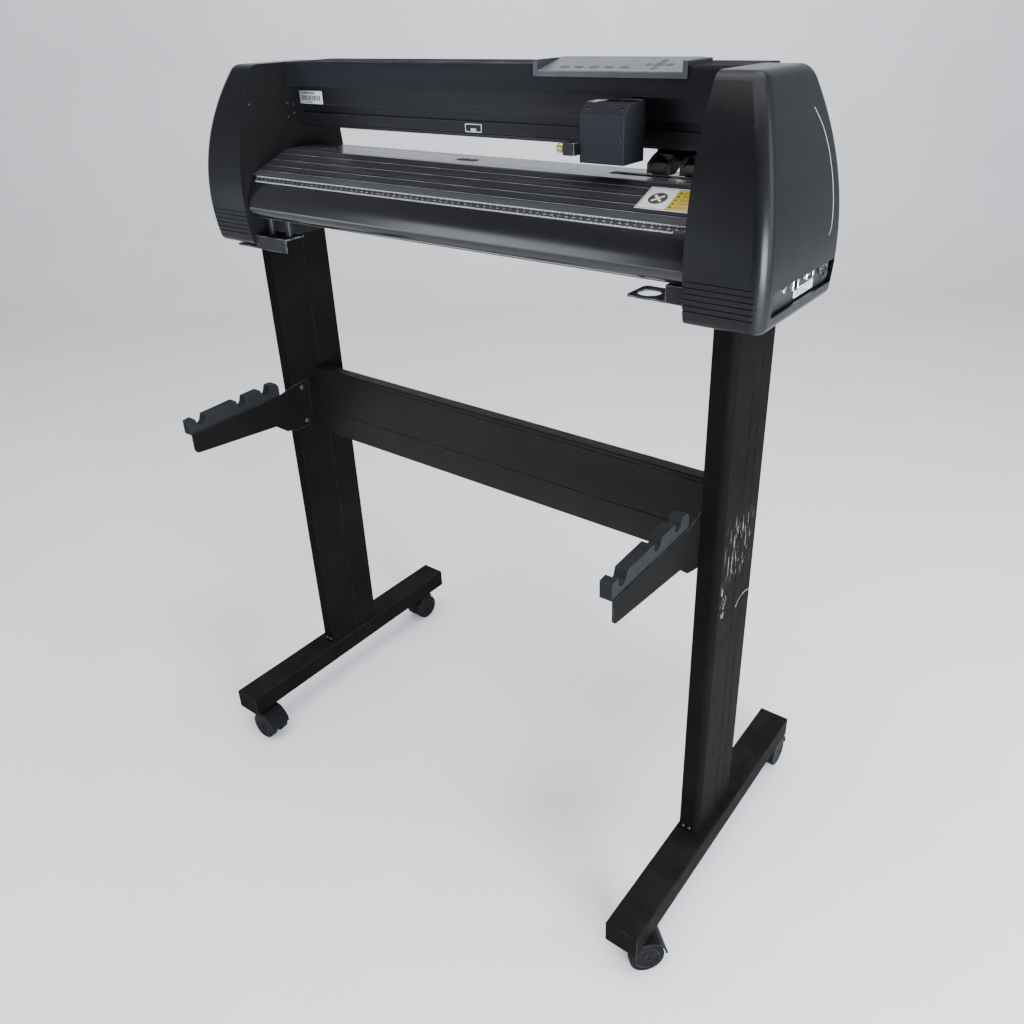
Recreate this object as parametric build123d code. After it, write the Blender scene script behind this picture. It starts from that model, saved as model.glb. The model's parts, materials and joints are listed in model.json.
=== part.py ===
from build123d import *
import math
import os

# A roll-fed vinyl cutter on a wheeled stand. Millimetres, +Z up, +X to the operator's right, +Y to the rear.
# The origin is on the floor, at the middle of the stand's footprint.

# Driving dimensions: stand
FOOT_X = 395.5
FOOT_WIDTH = 48.0
FOOT_LENGTH = 501.0
FOOT_BOTTOM = 60.0
FOOT_TOP = 95.0
FOOT_WALL = 2.5
PLUG_FLANGE = 1.5
COLUMN_INNER = 377.5
COLUMN_WIDTH = 29.0
COLUMN_DEPTH = 113.0
COLUMN_TOP = 905.0
COLUMN_CORNER = 10.0
CROSSBAR_BOTTOM = 533.5
CROSSBAR_HEIGHT = 120.0
CROSSBAR_FRONT = -7.0
CROSSBAR_THICK = 21.0
ARM_FRONT = -255.0
ARM_TOP_FRONT = 623.0
ARM_TOP_REAR = 628.0
REST_REAR = -84.0
REST_WIDTH = 16.0
NOTCHES = ((-234.0, 643.5), (-158.5, 647.0), (-111.0, 648.5))
NOTCH_RADIUS = 8.0
SHEET = 2.0
BRACKET_HEIGHT = 20.0
TONGUE_REACH = 49.5
TONGUE_ROOT = 14.0
TONGUE_HOLE = 13.5
ARM_SCREW_Y = -39.0
ARM_SCREW_Z = (566.6, 627.2)
COLUMN_SCREWS = (6.0, 15.5)
COLUMN_SCREW_Z = 104.0

# Driving dimensions: casters
CASTER_Y = 222.5
WHEEL_RADIUS = 25.0
WHEEL_WIDTH = 14.5
CASTER_TRAIL = 18.0
WEB_HALF = 4.0
STEM_RADIUS = 5.5
CASTERS = {
    "front_left": (-FOOT_X, -CASTER_Y, 0.0),
    "front_right": (FOOT_X, -CASTER_Y, 50.0),
    "rear_left": (-FOOT_X, CASTER_Y, -90.0),
    "rear_right": (FOOT_X, CASTER_Y, 90.0),
}

# Driving dimensions: end caps, seen from the side as two large arcs between a flat top and a flat bottom
MEDIA_HALF = 360.0
CAP_BOTTOM = 880.0
CAP_TOP = 1126.0
CAP_WAIST = 945.0
CAP_FRONT = -103.0
CAP_REAR = 105.0
CAP_FRONT_RADIUS = 343.0
CAP_REAR_RADIUS = 610.0
CAP_SIDE = 451.0
CAP_SIDE_WAIST = 935.0
CAP_SIDE_RADIUS = 458.0
CAP_WALL = 3.0
CAP_EDGE = 16.0
CAP_FOOT = 9.0
CAP_CROWN_FRONT = 18.0
CAP_CROWN_REAR = 24.0
RIB_FIRST = 896.0
RIB_PITCH = 6.5
RIB_COUNT = 6
RIB_WIDTH = 1.9
RIB_DEPTH = 1.2
RIB_END = CAP_SIDE - 12.0
SIDE_PLATE_THICK = 2.5

# Driving dimensions: beam, its cover and the panel on it
BEAM_FRONT = 24.0
BEAM_REAR = 96.0
BEAM_TOP = 1112.0
BEAM_STEP = 1068.0
BEAM_BOTTOM = 1041.5
CHANNEL_BOTTOM = 1055.5
RAIL_BOTTOM = 1036.5
COVER_FRONT = 8.0
COVER_REAR = 104.0
FASCIA_BOTTOM = 1093.5
PANEL_LEFT = 94.0
PANEL_RIGHT = 298.0
PANEL_FRONT = 5.5
PANEL_BACK = 64.0
PANEL_TOP = 1131.0
PANEL_BOTTOM = 1113.0
PANEL_LIP = 1118.3
PANEL_TILT = 13.2
KEY_TRAVEL = 0.4
MEMBRANE = 1.2
DASH_KEYS = 5
DASH_KEY_FIRST = 130.5
DASH_KEY_PITCH = 20.4
ARROW_X = 249.9
ARROW_PITCH = 13.4

# Driving dimensions: platen and apron
PLATEN_TOP = 1008.0
PLATEN_FRONT = -10.6
PLATEN_REAR = 59.4
NOSE_Y = -79.6
NOSE_Z = 980.0
APRON_BOTTOM = 921.0
PAN_THICK = 2.0

# Driving dimensions: feed shaft, belts and motors
SHAFT_Y = 21.4
SLEEVE_RADIUS = 8.0
SHAFT_Z = PLATEN_TOP + 0.8 - SLEEVE_RADIUS
SHAFT_RADIUS = 4.0
BUSH_RADIUS = 6.5
SLEEVES = [(-340.0, -290.0), (-46.0, -14.0), (196.0, 322.0)]
FEED_PULLEY_RADIUS = 16.0
FEED_MOTOR_PULLEY_RADIUS = 6.0
FEED_MOTOR_DROP = 46.0
BELT_AXIS_Z = 1104.0
BELT_Y = 16.0
BELT_PULLEY_RADIUS = 7.4
DRIVE_X = 388.0
IDLER_X = -344.0

# Driving dimensions: carriage and tool
CARRIAGE_LEFT = 187.0
CARRIAGE_RIGHT = 246.0
CARRIAGE_FRONT = -35.6
CARRIAGE_REAR = 8.0
CARRIAGE_BOTTOM = 1026.0
CARRIAGE_TOP = 1089.3
TOOL_X = 178.5
TOOL_Y = -37.0
TOOL_BORE = 5.75
TOOL_FACE = TOOL_X - 8.5
TOOL_BOTTOM = 1034.0
TOOL_HEIGHT = 14.0
KNOB_Z = 1041.0

# Driving dimensions: connectors and switch in the right cap
PORT_FACE = 443.0
SERIAL_Y = 26.0
JACK_Y = 62.0
ROCKER_Y = 80.0
ROCKER_Z = 912.5
ROCKER_WIDTH = 12.0
ROCKER_HALF = 7.0
ROCKER_AXIS = PORT_FACE - 2.0
ROCKER_TILT = 8.0

# Driving dimensions: pinch rollers
PINCH_X = {"left": 262.0, "right": 304.0}
PINCH_RADIUS = 7.0
PINCH_Z = SHAFT_Z + SLEEVE_RADIUS + PINCH_RADIUS + 0.3
PINCH_PIVOT_Y = 62.0
PINCH_PIVOT_Z = 1029.5
PINCH_PIN = 2.5
PINCH_HALF = 19.5
PINCH_ARM_HALF = 15.4
PINCH_ROLLER_HALF = 9.5


def block(x0, x1, y0, y1, z0, z1):
    """An upright box between two corners."""
    return Pos((x0 + x1) / 2, (y0 + y1) / 2, (z0 + z1) / 2) * Box(x1 - x0, y1 - y0, z1 - z0)


def rod_x(x0, x1, y, z, radius):
    """A round bar along X."""
    return Pos((x0 + x1) / 2, y, z) * Rot(0, 90, 0) * Cylinder(radius, x1 - x0)


def rod_y(x, y0, y1, z, radius):
    """A round bar along Y."""
    return Pos(x, (y0 + y1) / 2, z) * Rot(90, 0, 0) * Cylinder(radius, y1 - y0)


def rod_z(x, y, z0, z1, radius):
    """A round bar along Z."""
    return Pos(x, y, (z0 + z1) / 2) * Cylinder(radius, z1 - z0)


def along_x(face, x0, x1):
    """Sweep a section drawn in (Y, Z) from x0 to x1."""
    return Pos(x0, 0, 0) * extrude(Plane.YZ * face, amount=x1 - x0)


def polygon(*points):
    """A filled outline through the points."""
    return make_face(Polyline(*points, close=True))


def save(node, shape):
    """Write one sub-part, keeping every solid of a group."""
    solids = shape.solids()
    whole = solids[0] if len(solids) == 1 else Compound(children=list(solids))
    export_step(whole, os.path.join("parts", node + ".step"))


# ---- stand ----

def foot(x):
    """A foot bar: rectangular tube with a bore for each caster stem."""
    half = FOOT_LENGTH / 2 - PLUG_FLANGE
    bar = block(x - FOOT_WIDTH / 2, x + FOOT_WIDTH / 2, -half, half, FOOT_BOTTOM, FOOT_TOP)
    bar = fillet(bar.edges().filter_by(Axis.Y), 2.0)
    inner = FOOT_WIDTH / 2 - FOOT_WALL
    bar -= block(x - inner, x + inner, -half, half, FOOT_BOTTOM + FOOT_WALL, FOOT_TOP - FOOT_WALL)
    for y in (-CASTER_Y, CASTER_Y):
        bar -= rod_z(x, y, FOOT_BOTTOM - 1, FOOT_BOTTOM + FOOT_WALL + 1, STEM_RADIUS + 0.06)
    return bar


def foot_end_plugs():
    """Flat plugs that close both ends of both foot bars."""
    plugs = []
    inner = FOOT_WIDTH / 2 - FOOT_WALL - 0.15
    for x in (-FOOT_X, FOOT_X):
        for way in (-1, 1):
            end = way * FOOT_LENGTH / 2
            face = end - way * PLUG_FLANGE
            root = face - way * 7.0
            flange = block(x - FOOT_WIDTH / 2, x + FOOT_WIDTH / 2, min(end, face), max(end, face),
                           FOOT_BOTTOM, FOOT_TOP)
            flange = fillet(flange.edges().filter_by(Axis.Y), 2.0)
            tongue = block(x - inner, x + inner, min(face, root), max(face, root),
                           FOOT_BOTTOM + FOOT_WALL + 0.15, FOOT_TOP - FOOT_WALL - 0.15)
            plugs.append(flange + tongue)
    return Compound(children=plugs)


def column(side):
    """A hollow column, sharp corners inboard, rounded corners outboard, with shallow joint lines."""
    inner = side * COLUMN_INNER
    outer = side * (COLUMN_INNER + COLUMN_WIDTH)
    half = COLUMN_DEPTH / 2
    post = block(min(inner, outer), max(inner, outer), -half, half, FOOT_TOP, COLUMN_TOP)
    upright = post.edges().filter_by(Axis.Z).sort_by(Axis.X)
    outboard = upright[2:] if side > 0 else upright[:2]
    post = fillet(outboard, COLUMN_CORNER)
    wall = 2.5
    post -= Pos(side * (COLUMN_INNER + COLUMN_WIDTH / 2), 0, (FOOT_TOP + COLUMN_TOP) / 2) * Box(
        COLUMN_WIDTH - 2 * wall - 9, COLUMN_DEPTH - 2 * wall - 9, COLUMN_TOP - FOOT_TOP)
    for y in (-1.8, 20.7):
        post -= block(min(outer, outer - side * 1.2), max(outer, outer - side * 1.2), y - 1, y + 1,
                      FOOT_TOP, COLUMN_TOP)
    post -= block(min(inner, inner + side * 0.9), max(inner, inner + side * 0.9), 7.2, 8.6,
                  FOOT_TOP, COLUMN_TOP)
    for inset in COLUMN_SCREWS:
        front = -COLUMN_DEPTH / 2
        post -= rod_y(side * (COLUMN_INNER + inset), front - 1, front + 3.2, COLUMN_SCREW_Z, 2.55)
    for z in ARM_SCREW_Z:
        post -= rod_x(min(inner, inner + side * 3.2), max(inner, inner + side * 3.2), ARM_SCREW_Y, z, 2.55)
    return post


def crossbar():
    """The wide flat bar between the columns: a thin hollow section with a joint line low on its front."""
    back = CROSSBAR_FRONT + CROSSBAR_THICK
    top = CROSSBAR_BOTTOM + CROSSBAR_HEIGHT
    section = fillet(polygon((CROSSBAR_FRONT, CROSSBAR_BOTTOM), (back, CROSSBAR_BOTTOM), (back, top),
                             (CROSSBAR_FRONT, top)).vertices(), 2.5)
    section -= polygon((CROSSBAR_FRONT + 3.5, CROSSBAR_BOTTOM + 3.5), (back - 3.5, CROSSBAR_BOTTOM + 3.5),
                       (back - 3.5, top - 3.5), (CROSSBAR_FRONT + 3.5, top - 3.5))
    bar = along_x(section, -COLUMN_INNER, COLUMN_INNER)
    for z in (577.0, top - 7.0):
        bar -= block(-COLUMN_INNER, COLUMN_INNER, CROSSBAR_FRONT, CROSSBAR_FRONT + 1.0, z, z + 1.4)
    return bar


def arm_top(y):
    """The height of the arm's top edge, which rises a little towards the column."""
    share = (y - ARM_FRONT) / (REST_REAR - ARM_FRONT)
    return ARM_TOP_FRONT + share * (ARM_TOP_REAR - ARM_TOP_FRONT)


def roll_arm(face_x):
    """A bent sheet arm: a plate screwed flat on a column's inner face, and a top flange under the rest."""
    plate = polygon((ARM_FRONT, 590.5), (-102.6, 577.7), (-82.6, 561.6), (-60.0, 556.0), (-25.0, 556.0),
                    (-25.0, 638.0), (-56.0, 635.5), (REST_REAR, ARM_TOP_REAR), (ARM_FRONT, ARM_TOP_FRONT))
    arm = along_x(plate, face_x, face_x + SHEET)
    low_front = arm.edges().filter_by(Axis.X).sort_by(Axis.Y)[:2].sort_by(Axis.Z)[:1]
    arm = fillet(low_front, 8.0)
    flange = polygon((ARM_FRONT, ARM_TOP_FRONT - SHEET), (REST_REAR, ARM_TOP_REAR - SHEET),
                     (REST_REAR, ARM_TOP_REAR), (ARM_FRONT, ARM_TOP_FRONT))
    arm += along_x(flange, face_x - REST_WIDTH, face_x + SHEET)
    crease = arm.edges().filter_by(lambda e: e.length > 150).filter_by(
        lambda e: e.center().X > face_x + SHEET - 0.1 and e.center().Z > 610).sort_by(Axis.Z)[-1:]
    arm = fillet(crease, SHEET - 0.3)
    for z in ARM_SCREW_Z:
        arm -= rod_x(face_x - 1, face_x + SHEET + 1, ARM_SCREW_Y, z, 2.6)
    return arm


def rest_outline():
    """The side view of the notched rest: three round-bottomed notches, the last block the tallest."""
    body = polygon((ARM_FRONT, ARM_TOP_FRONT), (REST_REAR, ARM_TOP_REAR), (REST_REAR, 643.0),
                   (REST_REAR - 4.0, 649.0), (-99.0, 649.5), (-123.0, 648.0), (-170.8, 646.5),
                   (-221.8, 643.9), (-246.0, 643.5), (ARM_FRONT, 642.5))
    for y, top in NOTCHES:
        floor = top - 13.0
        cut = Pos(y, floor + NOTCH_RADIUS) * Circle(NOTCH_RADIUS)
        mouth = polygon((y - NOTCH_RADIUS, floor + NOTCH_RADIUS), (y + NOTCH_RADIUS, floor + NOTCH_RADIUS),
                        (y + 12.0, top + 4), (y - 10.0, top + 4))
        body = body - cut - mouth
    return body


def roll_rests():
    """Both notched rests, each standing on its arm's flange, with a small hole in every notch."""
    rests = []
    for x1 in (-COLUMN_INNER, COLUMN_INNER - SHEET):
        rest = along_x(rest_outline(), x1 - REST_WIDTH, x1)
        for y, top in NOTCHES:
            rest -= rod_z(x1 - REST_WIDTH / 2, y, arm_top(y) + 2.5, top - 4, 2.0)
        rests.append(rest)
    return Compound(children=rests)


def pan_head(x, y, z, axis, radius=4.2, grip=5.0):
    """A domed screw whose head stands on the point, looking along the axis."""
    head = Cylinder(radius, 2.2, align=(Align.CENTER, Align.CENTER, Align.MIN))
    head = fillet(head.edges().sort_by(Axis.Z)[-1:], 1.6)
    head -= Pos(0, 0, 1.4) * Box(radius * 1.2, 0.9, 2.0)
    head -= Pos(0, 0, 1.4) * Box(0.9, radius * 1.2, 2.0)
    shank = Pos(0, 0, -grip / 2) * Cylinder(2.5, grip)
    return Plane(origin=(x, y, z), z_dir=axis) * (head + shank)


def stand_screws():
    """Silver screws: two through each roll arm and two at the foot of each column."""
    screws = []
    arm_faces = (-COLUMN_INNER + SHEET, COLUMN_INNER - SHEET)
    for x, way in zip(arm_faces, (1, -1)):
        for z in ARM_SCREW_Z:
            screws.append(pan_head(x, ARM_SCREW_Y, z, (way, 0, 0), grip=SHEET + 3))
    for side in (-1, 1):
        for inset in COLUMN_SCREWS:
            x = side * (COLUMN_INNER + inset)
            screws.append(pan_head(x, -COLUMN_DEPTH / 2, COLUMN_SCREW_Z, (0, -1, 0), radius=2.6, grip=3.0))
    return Compound(children=screws)


def bracket(x_left, length, flange_z, rear, spacers):
    """A bent sheet bracket: an upright front, a top return and a low tongue with rounded corners."""
    front = -92.6
    return_rear = -57.5
    top = flange_z + BRACKET_HEIGHT
    upright = block(x_left, x_left + length, front, front + SHEET, flange_z, top)
    back = block(x_left, x_left + length, front, return_rear, top - SHEET, top)
    tongue = block(x_left - TONGUE_REACH, x_left + TONGUE_ROOT, front, rear, flange_z, flange_z + SHEET)
    tongue = fillet(tongue.edges().filter_by(Axis.Z).sort_by(Axis.X)[:2], 6.0)
    piece = upright + back + tongue
    for x in spacers:
        piece += rod_z(x, -72.0, top - SHEET, APRON_BOTTOM - PAN_THICK, 5.0)
    return piece


def stand_brackets():
    """The brackets that tie the machine's underside to the stand, one near each end."""
    left = bracket(-359.5, 68.0, 874.5, -57.5, (-345.0, -306.0))
    right = bracket(335.5, 21.0, APRON_BOTTOM - PAN_THICK - BRACKET_HEIGHT, -48.0, ())
    right -= rod_z(305.0, -71.5, 880.0, 905.0, TONGUE_HOLE)
    return Compound(children=[left, right])


# ---- casters: built with the stem on the Z axis, trailing along +X, then turned and placed ----

def caster_hood():
    """Stem, boss, centre web and a curved fender over both wheels."""
    stem = rod_z(0, 0, 52.0, 80.0, STEM_RADIUS)
    boss = rod_z(0, 0, 44.0, FOOT_BOTTOM - 0.4, 9.0)
    web = Pos(CASTER_TRAIL, 0, WHEEL_RADIUS) * Rot(90, 0, 0) * Cylinder(21.0, 2 * WEB_HALF)
    neck = block(-5, CASTER_TRAIL + 4, -WEB_HALF, WEB_HALF, 30.0, 50.0)
    width = 2 * WEB_HALF + 2 * WHEEL_WIDTH + 2
    shell = Cylinder(29.5, width) - Cylinder(26.5, width)
    wedge = extrude(polygon((0, 0), (60, 6), (60, 60), (-36, 60)), amount=width / 2, both=True)
    fender = Pos(CASTER_TRAIL, 0, WHEEL_RADIUS) * Rot(90, 0, 0) * (shell & wedge)
    link = block(CASTER_TRAIL - 12, CASTER_TRAIL + 12, -WEB_HALF, WEB_HALF, 41.0, 52.0)
    hood = stem + boss + web + neck + fender + link
    clear = WEB_HALF + WHEEL_WIDTH + 3
    for way in (-1, 1):
        y0, y1 = sorted((way * (WEB_HALF + 0.0), way * clear))
        tyre_room = Pos(CASTER_TRAIL, (y0 + y1) / 2, WHEEL_RADIUS) * Rot(90, 0, 0) * Cylinder(26.5, y1 - y0)
        hood -= tyre_room
    return hood - rod_y(CASTER_TRAIL, -20, 20, WHEEL_RADIUS, 3.06)


def caster_wheels():
    """Two dished wheels fixed on one axle."""
    axle = rod_y(CASTER_TRAIL, -WEB_HALF - 1, WEB_HALF + 1, WHEEL_RADIUS, 3.0)
    wheels = axle
    for way in (-1, 1):
        disc = Cylinder(WHEEL_RADIUS, WHEEL_WIDTH)
        disc = fillet(disc.edges(), 2.5)
        dish = Pos(0, 0, WHEEL_WIDTH / 2) * Cylinder(17.0, 1.6)
        disc -= dish
        middle = way * (WEB_HALF + 0.5 + WHEEL_WIDTH / 2)
        turn = Rot(-90, 0, 0) if way > 0 else Rot(90, 0, 0)
        wheels += Pos(CASTER_TRAIL, middle, WHEEL_RADIUS) * turn * disc
    return wheels


# ---- end caps and side plates ----

def cap_section(inset):
    """The caps' side view, drawn in (Y, Z), with its two top corners rounded."""
    low = CAP_BOTTOM + inset
    high = CAP_TOP - inset
    front = Pos(CAP_FRONT + CAP_FRONT_RADIUS, CAP_WAIST) * Circle(CAP_FRONT_RADIUS - inset)
    rear = Pos(CAP_REAR - CAP_REAR_RADIUS, CAP_WAIST) * Rot(0, 0, 180) * Circle(CAP_REAR_RADIUS - inset)
    band = Pos(0, (low + high) / 2) * Rectangle(400, high - low)
    section = front & rear & band
    front_corner = section.vertices().filter_by(lambda v: v.Y > high - 0.1).sort_by(Axis.X)[:1]
    section = fillet(front_corner, CAP_CROWN_FRONT - inset)
    rear_corner = section.vertices().filter_by(lambda v: v.Y > high - 0.1).sort_by(Axis.X)[-1:]
    return fillet(rear_corner, CAP_CROWN_REAR - inset)


def cap_solid(inset, x0):
    """One right-hand cap as a filled body, its outer side bowed, its outer rim and foot rounded."""
    body = along_x(cap_section(inset), x0, CAP_SIDE + 5)
    bow = Pos(CAP_SIDE - CAP_SIDE_RADIUS, 0, CAP_SIDE_WAIST) * Rot(90, 0, 0) * Rot(0, 0, 180) * Cylinder(
        CAP_SIDE_RADIUS - inset, 400)
    body = body & bow
    side = body.faces().filter_by(GeomType.CYLINDER).sort_by(Axis.X)[-1]
    rim = side.edges().filter_by(lambda e: e.center().Z > CAP_BOTTOM + inset + 1)
    body = fillet(rim, CAP_EDGE - inset)
    sole = body.faces().sort_by(Axis.Z)[0]
    foot_rim = sole.edges().filter_by(lambda e: e.center().X > x0 + 1)
    return fillet(foot_rim, CAP_FOOT - inset)


def cap_grooves():
    """Low grooves around the cap's front and rear, as one cutting body."""
    outer = cap_solid(0, MEDIA_HALF)
    skin = cap_solid(RIB_DEPTH, MEDIA_HALF - 1)
    bands = Part()
    for i in range(RIB_COUNT):
        z = RIB_FIRST + i * RIB_PITCH
        bands += block(MEDIA_HALF, RIB_END, -120, 120, z, z + RIB_WIDTH)
    return (bands & outer) - skin


def cap_shell():
    """The right-hand cap: a bowed moulded shell, open on its inner side, with a gap for the column."""
    shell = cap_solid(0, MEDIA_HALF) - cap_solid(CAP_WALL, MEDIA_HALF - 5)
    shell -= cap_grooves()
    gap = COLUMN_DEPTH / 2 + 4
    outer = COLUMN_INNER + COLUMN_WIDTH + 5
    shell -= block(COLUMN_INNER - 6, outer, -gap, gap, CAP_BOTTOM - 2, CAP_BOTTOM + 8)
    return shell.solids().sort_by(SortBy.VOLUME)[-1]


def right_end_cap():
    """The right cap has a long window low on its side for the connectors."""
    window = along_x(fillet((Pos(7, 909.5) * Rectangle(172, 27)).vertices(), 4.0), 436, CAP_SIDE + 5)
    return cap_shell() - window


def left_end_cap():
    """The left cap is the mirror image, without the window."""
    return mirror(cap_shell(), Plane.YZ)


def side_plate(side):
    """The plate that closes a cap's inner side and carries the beam, the platen and the feed shaft."""
    section = cap_section(CAP_WALL + 0.3)
    section = fillet(section.vertices().sort_by(Axis.Y)[:2], CAP_FOOT - CAP_WALL)
    plate = along_x(section, MEDIA_HALF, MEDIA_HALF + SIDE_PLATE_THICK)
    plate -= rod_x(MEDIA_HALF - 1, MEDIA_HALF + 4, SHAFT_Y, SHAFT_Z, BUSH_RADIUS + 0.05)
    foot_plate = block(MEDIA_HALF + SIDE_PLATE_THICK, COLUMN_INNER + 24, -40, 40, COLUMN_TOP, COLUMN_TOP + 3)
    plate += foot_plate
    if side > 0:
        plate -= block(MEDIA_HALF - 1, MEDIA_HALF + 5, 9, 23, BELT_AXIS_Z - 13, BELT_AXIS_Z + 13)
        return plate
    return mirror(plate, Plane.YZ)


def side_plates():
    """Both side plates."""
    return Compound(children=[side_plate(-1), side_plate(1)])


# ---- beam and cover ----

def beam():
    """The bridge extrusion: a tall box over a lower nose with a running channel in front."""
    outer = polygon((BEAM_FRONT, BEAM_TOP), (BEAM_FRONT, BEAM_STEP), (33, BEAM_STEP), (33, CHANNEL_BOTTOM),
                    (28, CHANNEL_BOTTOM), (28, BEAM_BOTTOM), (86, BEAM_BOTTOM), (86, BEAM_STEP),
                    (BEAM_REAR, BEAM_STEP), (BEAM_REAR, BEAM_TOP))
    inner = polygon((BEAM_FRONT + 3, BEAM_TOP - 3), (BEAM_FRONT + 3, BEAM_STEP + 3),
                    (BEAM_REAR - 3, BEAM_STEP + 3), (BEAM_REAR - 3, BEAM_TOP - 3))
    lower = polygon((36, BEAM_STEP - 1), (36, BEAM_BOTTOM + 11), (83, BEAM_BOTTOM + 11), (83, BEAM_STEP - 1))
    slot = polygon((56, BEAM_BOTTOM), (68, BEAM_BOTTOM), (68, BEAM_BOTTOM + 10), (56, BEAM_BOTTOM + 10))
    section = outer - inner - lower - slot
    bar = along_x(section, -MEDIA_HALF, MEDIA_HALF)
    pin = rod_y(IDLER_X, 11.0, BEAM_FRONT, BELT_AXIS_Z, 2.0)
    return bar + pin


def beam_cover():
    """The cover over the beam: front fascia, top with a window for the panel, and rear wall."""
    wall = 2.0
    outer = polygon((COVER_FRONT, FASCIA_BOTTOM), (COVER_FRONT, CAP_TOP), (COVER_REAR, CAP_TOP),
                    (COVER_REAR, 1040), (COVER_REAR - wall, 1040), (COVER_REAR - wall, CAP_TOP - wall),
                    (COVER_FRONT + wall, CAP_TOP - wall), (COVER_FRONT + wall, FASCIA_BOTTOM))
    cover = along_x(outer, -MEDIA_HALF, MEDIA_HALF)
    crown = cover.edges().filter_by(Axis.X).filter_by(lambda e: abs(e.center().Z - CAP_TOP) < 0.1)
    cover = fillet(crown, 5.0)
    under = cover.edges().filter_by(Axis.X).filter_by(lambda e: abs(e.center().Z - CAP_TOP + wall) < 0.1)
    cover = fillet(under.filter_by(lambda e: 9 < e.center().Y < 103), 3.0)
    cover -= block(PANEL_LEFT + 4, PANEL_RIGHT - 4, COVER_FRONT - 1, 56, PANEL_BOTTOM + 3, CAP_TOP + 1)
    return cover


def guide_rail():
    """The thin rail under the beam's front edge."""
    middle = Pos(31.5, (RAIL_BOTTOM + BEAM_BOTTOM) / 2)
    section = fillet((middle * Rectangle(9, BEAM_BOTTOM - RAIL_BOTTOM)).vertices(), 1.2)
    return along_x(section, -MEDIA_HALF, MEDIA_HALF)


# ---- control panel ----

def tilt_plane():
    """The sloping floor of the panel, with its X axis along the machine."""
    slope = math.radians(PANEL_TILT)
    up = (0, -math.sin(slope), math.cos(slope))
    return Plane(origin=(0, PANEL_FRONT, PANEL_LIP), x_dir=(1, 0, 0), z_dir=up)


def key_places():
    """Every key's name and its middle on the sloping floor, as (x, distance up the slope, length, width)."""
    places = {}
    for i in range(DASH_KEYS):
        places["key_%d" % (i + 1)] = (DASH_KEY_FIRST + i * DASH_KEY_PITCH, 14.5, 13.0, 6.5)
    middle = 26.0
    places["arrow_left"] = (ARROW_X - ARROW_PITCH, middle, 9.0, 9.0)
    places["arrow_right"] = (ARROW_X + ARROW_PITCH, middle, 9.0, 9.0)
    places["arrow_up"] = (ARROW_X, middle + ARROW_PITCH, 9.0, 9.0)
    places["arrow_down"] = (ARROW_X, middle - ARROW_PITCH, 9.0, 9.0)
    places["arrow_centre"] = (ARROW_X, middle, 14.0, 14.0)
    return places


def on_panel(x, up, low, high, length, width, corner):
    """A rounded pad on the sloping floor, from one height to another above it."""
    pad = RectangleRounded(length, width, corner)
    return tilt_plane() * (Pos(x, up, low) * extrude(pad, amount=high - low))


def key_corner(width):
    """Keys have well rounded ends."""
    return width / 2 - 0.6


def key(name):
    """One key: a thin pad that stands 0.4 mm proud of the membrane."""
    x, up, length, width = key_places()[name]
    return on_panel(x, up, 0.0, MEMBRANE + 0.4, length - 0.7, width - 0.7, key_corner(width) - 0.35)


def panel_frame():
    """The raised frame, open towards the front, with a sloping floor and a well under every key."""
    frame = block(PANEL_LEFT, PANEL_RIGHT, PANEL_FRONT, PANEL_BACK, PANEL_BOTTOM, PANEL_TOP)
    crown = frame.edges().filter_by(lambda e: abs(e.center().Z - PANEL_TOP) < 0.1)
    frame = fillet(crown, 2.0)
    back_of_lip = COVER_FRONT - 0.2
    frame -= block(PANEL_LEFT, PANEL_RIGHT, back_of_lip, PANEL_BACK, PANEL_BOTTOM, PANEL_BOTTOM + 3.2)
    for x0, x1 in ((PANEL_LEFT, PANEL_LEFT + 4.2), (PANEL_RIGHT - 4.2, PANEL_RIGHT)):
        frame -= block(x0, x1, back_of_lip, PANEL_BACK, PANEL_BOTTOM, CAP_TOP + 0.1)
    frame -= block(PANEL_LEFT, PANEL_RIGHT, 55.8, PANEL_BACK, PANEL_BOTTOM, CAP_TOP + 0.1)
    length = PANEL_RIGHT - PANEL_LEFT - 12
    middle = (PANEL_LEFT + PANEL_RIGHT) / 2
    frame -= tilt_plane() * (Pos(middle, 21.0, 10.0) * Box(length, 67.0, 20.0))
    for x, up, size_x, size_y in key_places().values():
        frame -= on_panel(x, up, -1.0, 0.1, size_x, size_y, key_corner(size_y))
    return frame


def panel_membrane():
    """The printed sheet on the sloping floor, cut out around every key."""
    length = PANEL_RIGHT - PANEL_LEFT - 12.6
    middle = (PANEL_LEFT + PANEL_RIGHT) / 2
    sheet = tilt_plane() * (Pos(middle, 27.5, MEMBRANE / 2) * Box(length, 54.0, MEMBRANE))
    for x, up, size_x, size_y in key_places().values():
        sheet -= on_panel(x, up, -1.0, MEMBRANE + 1, size_x, size_y, key_corner(size_y))
    return sheet


# ---- platen, apron and pan ----

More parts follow.
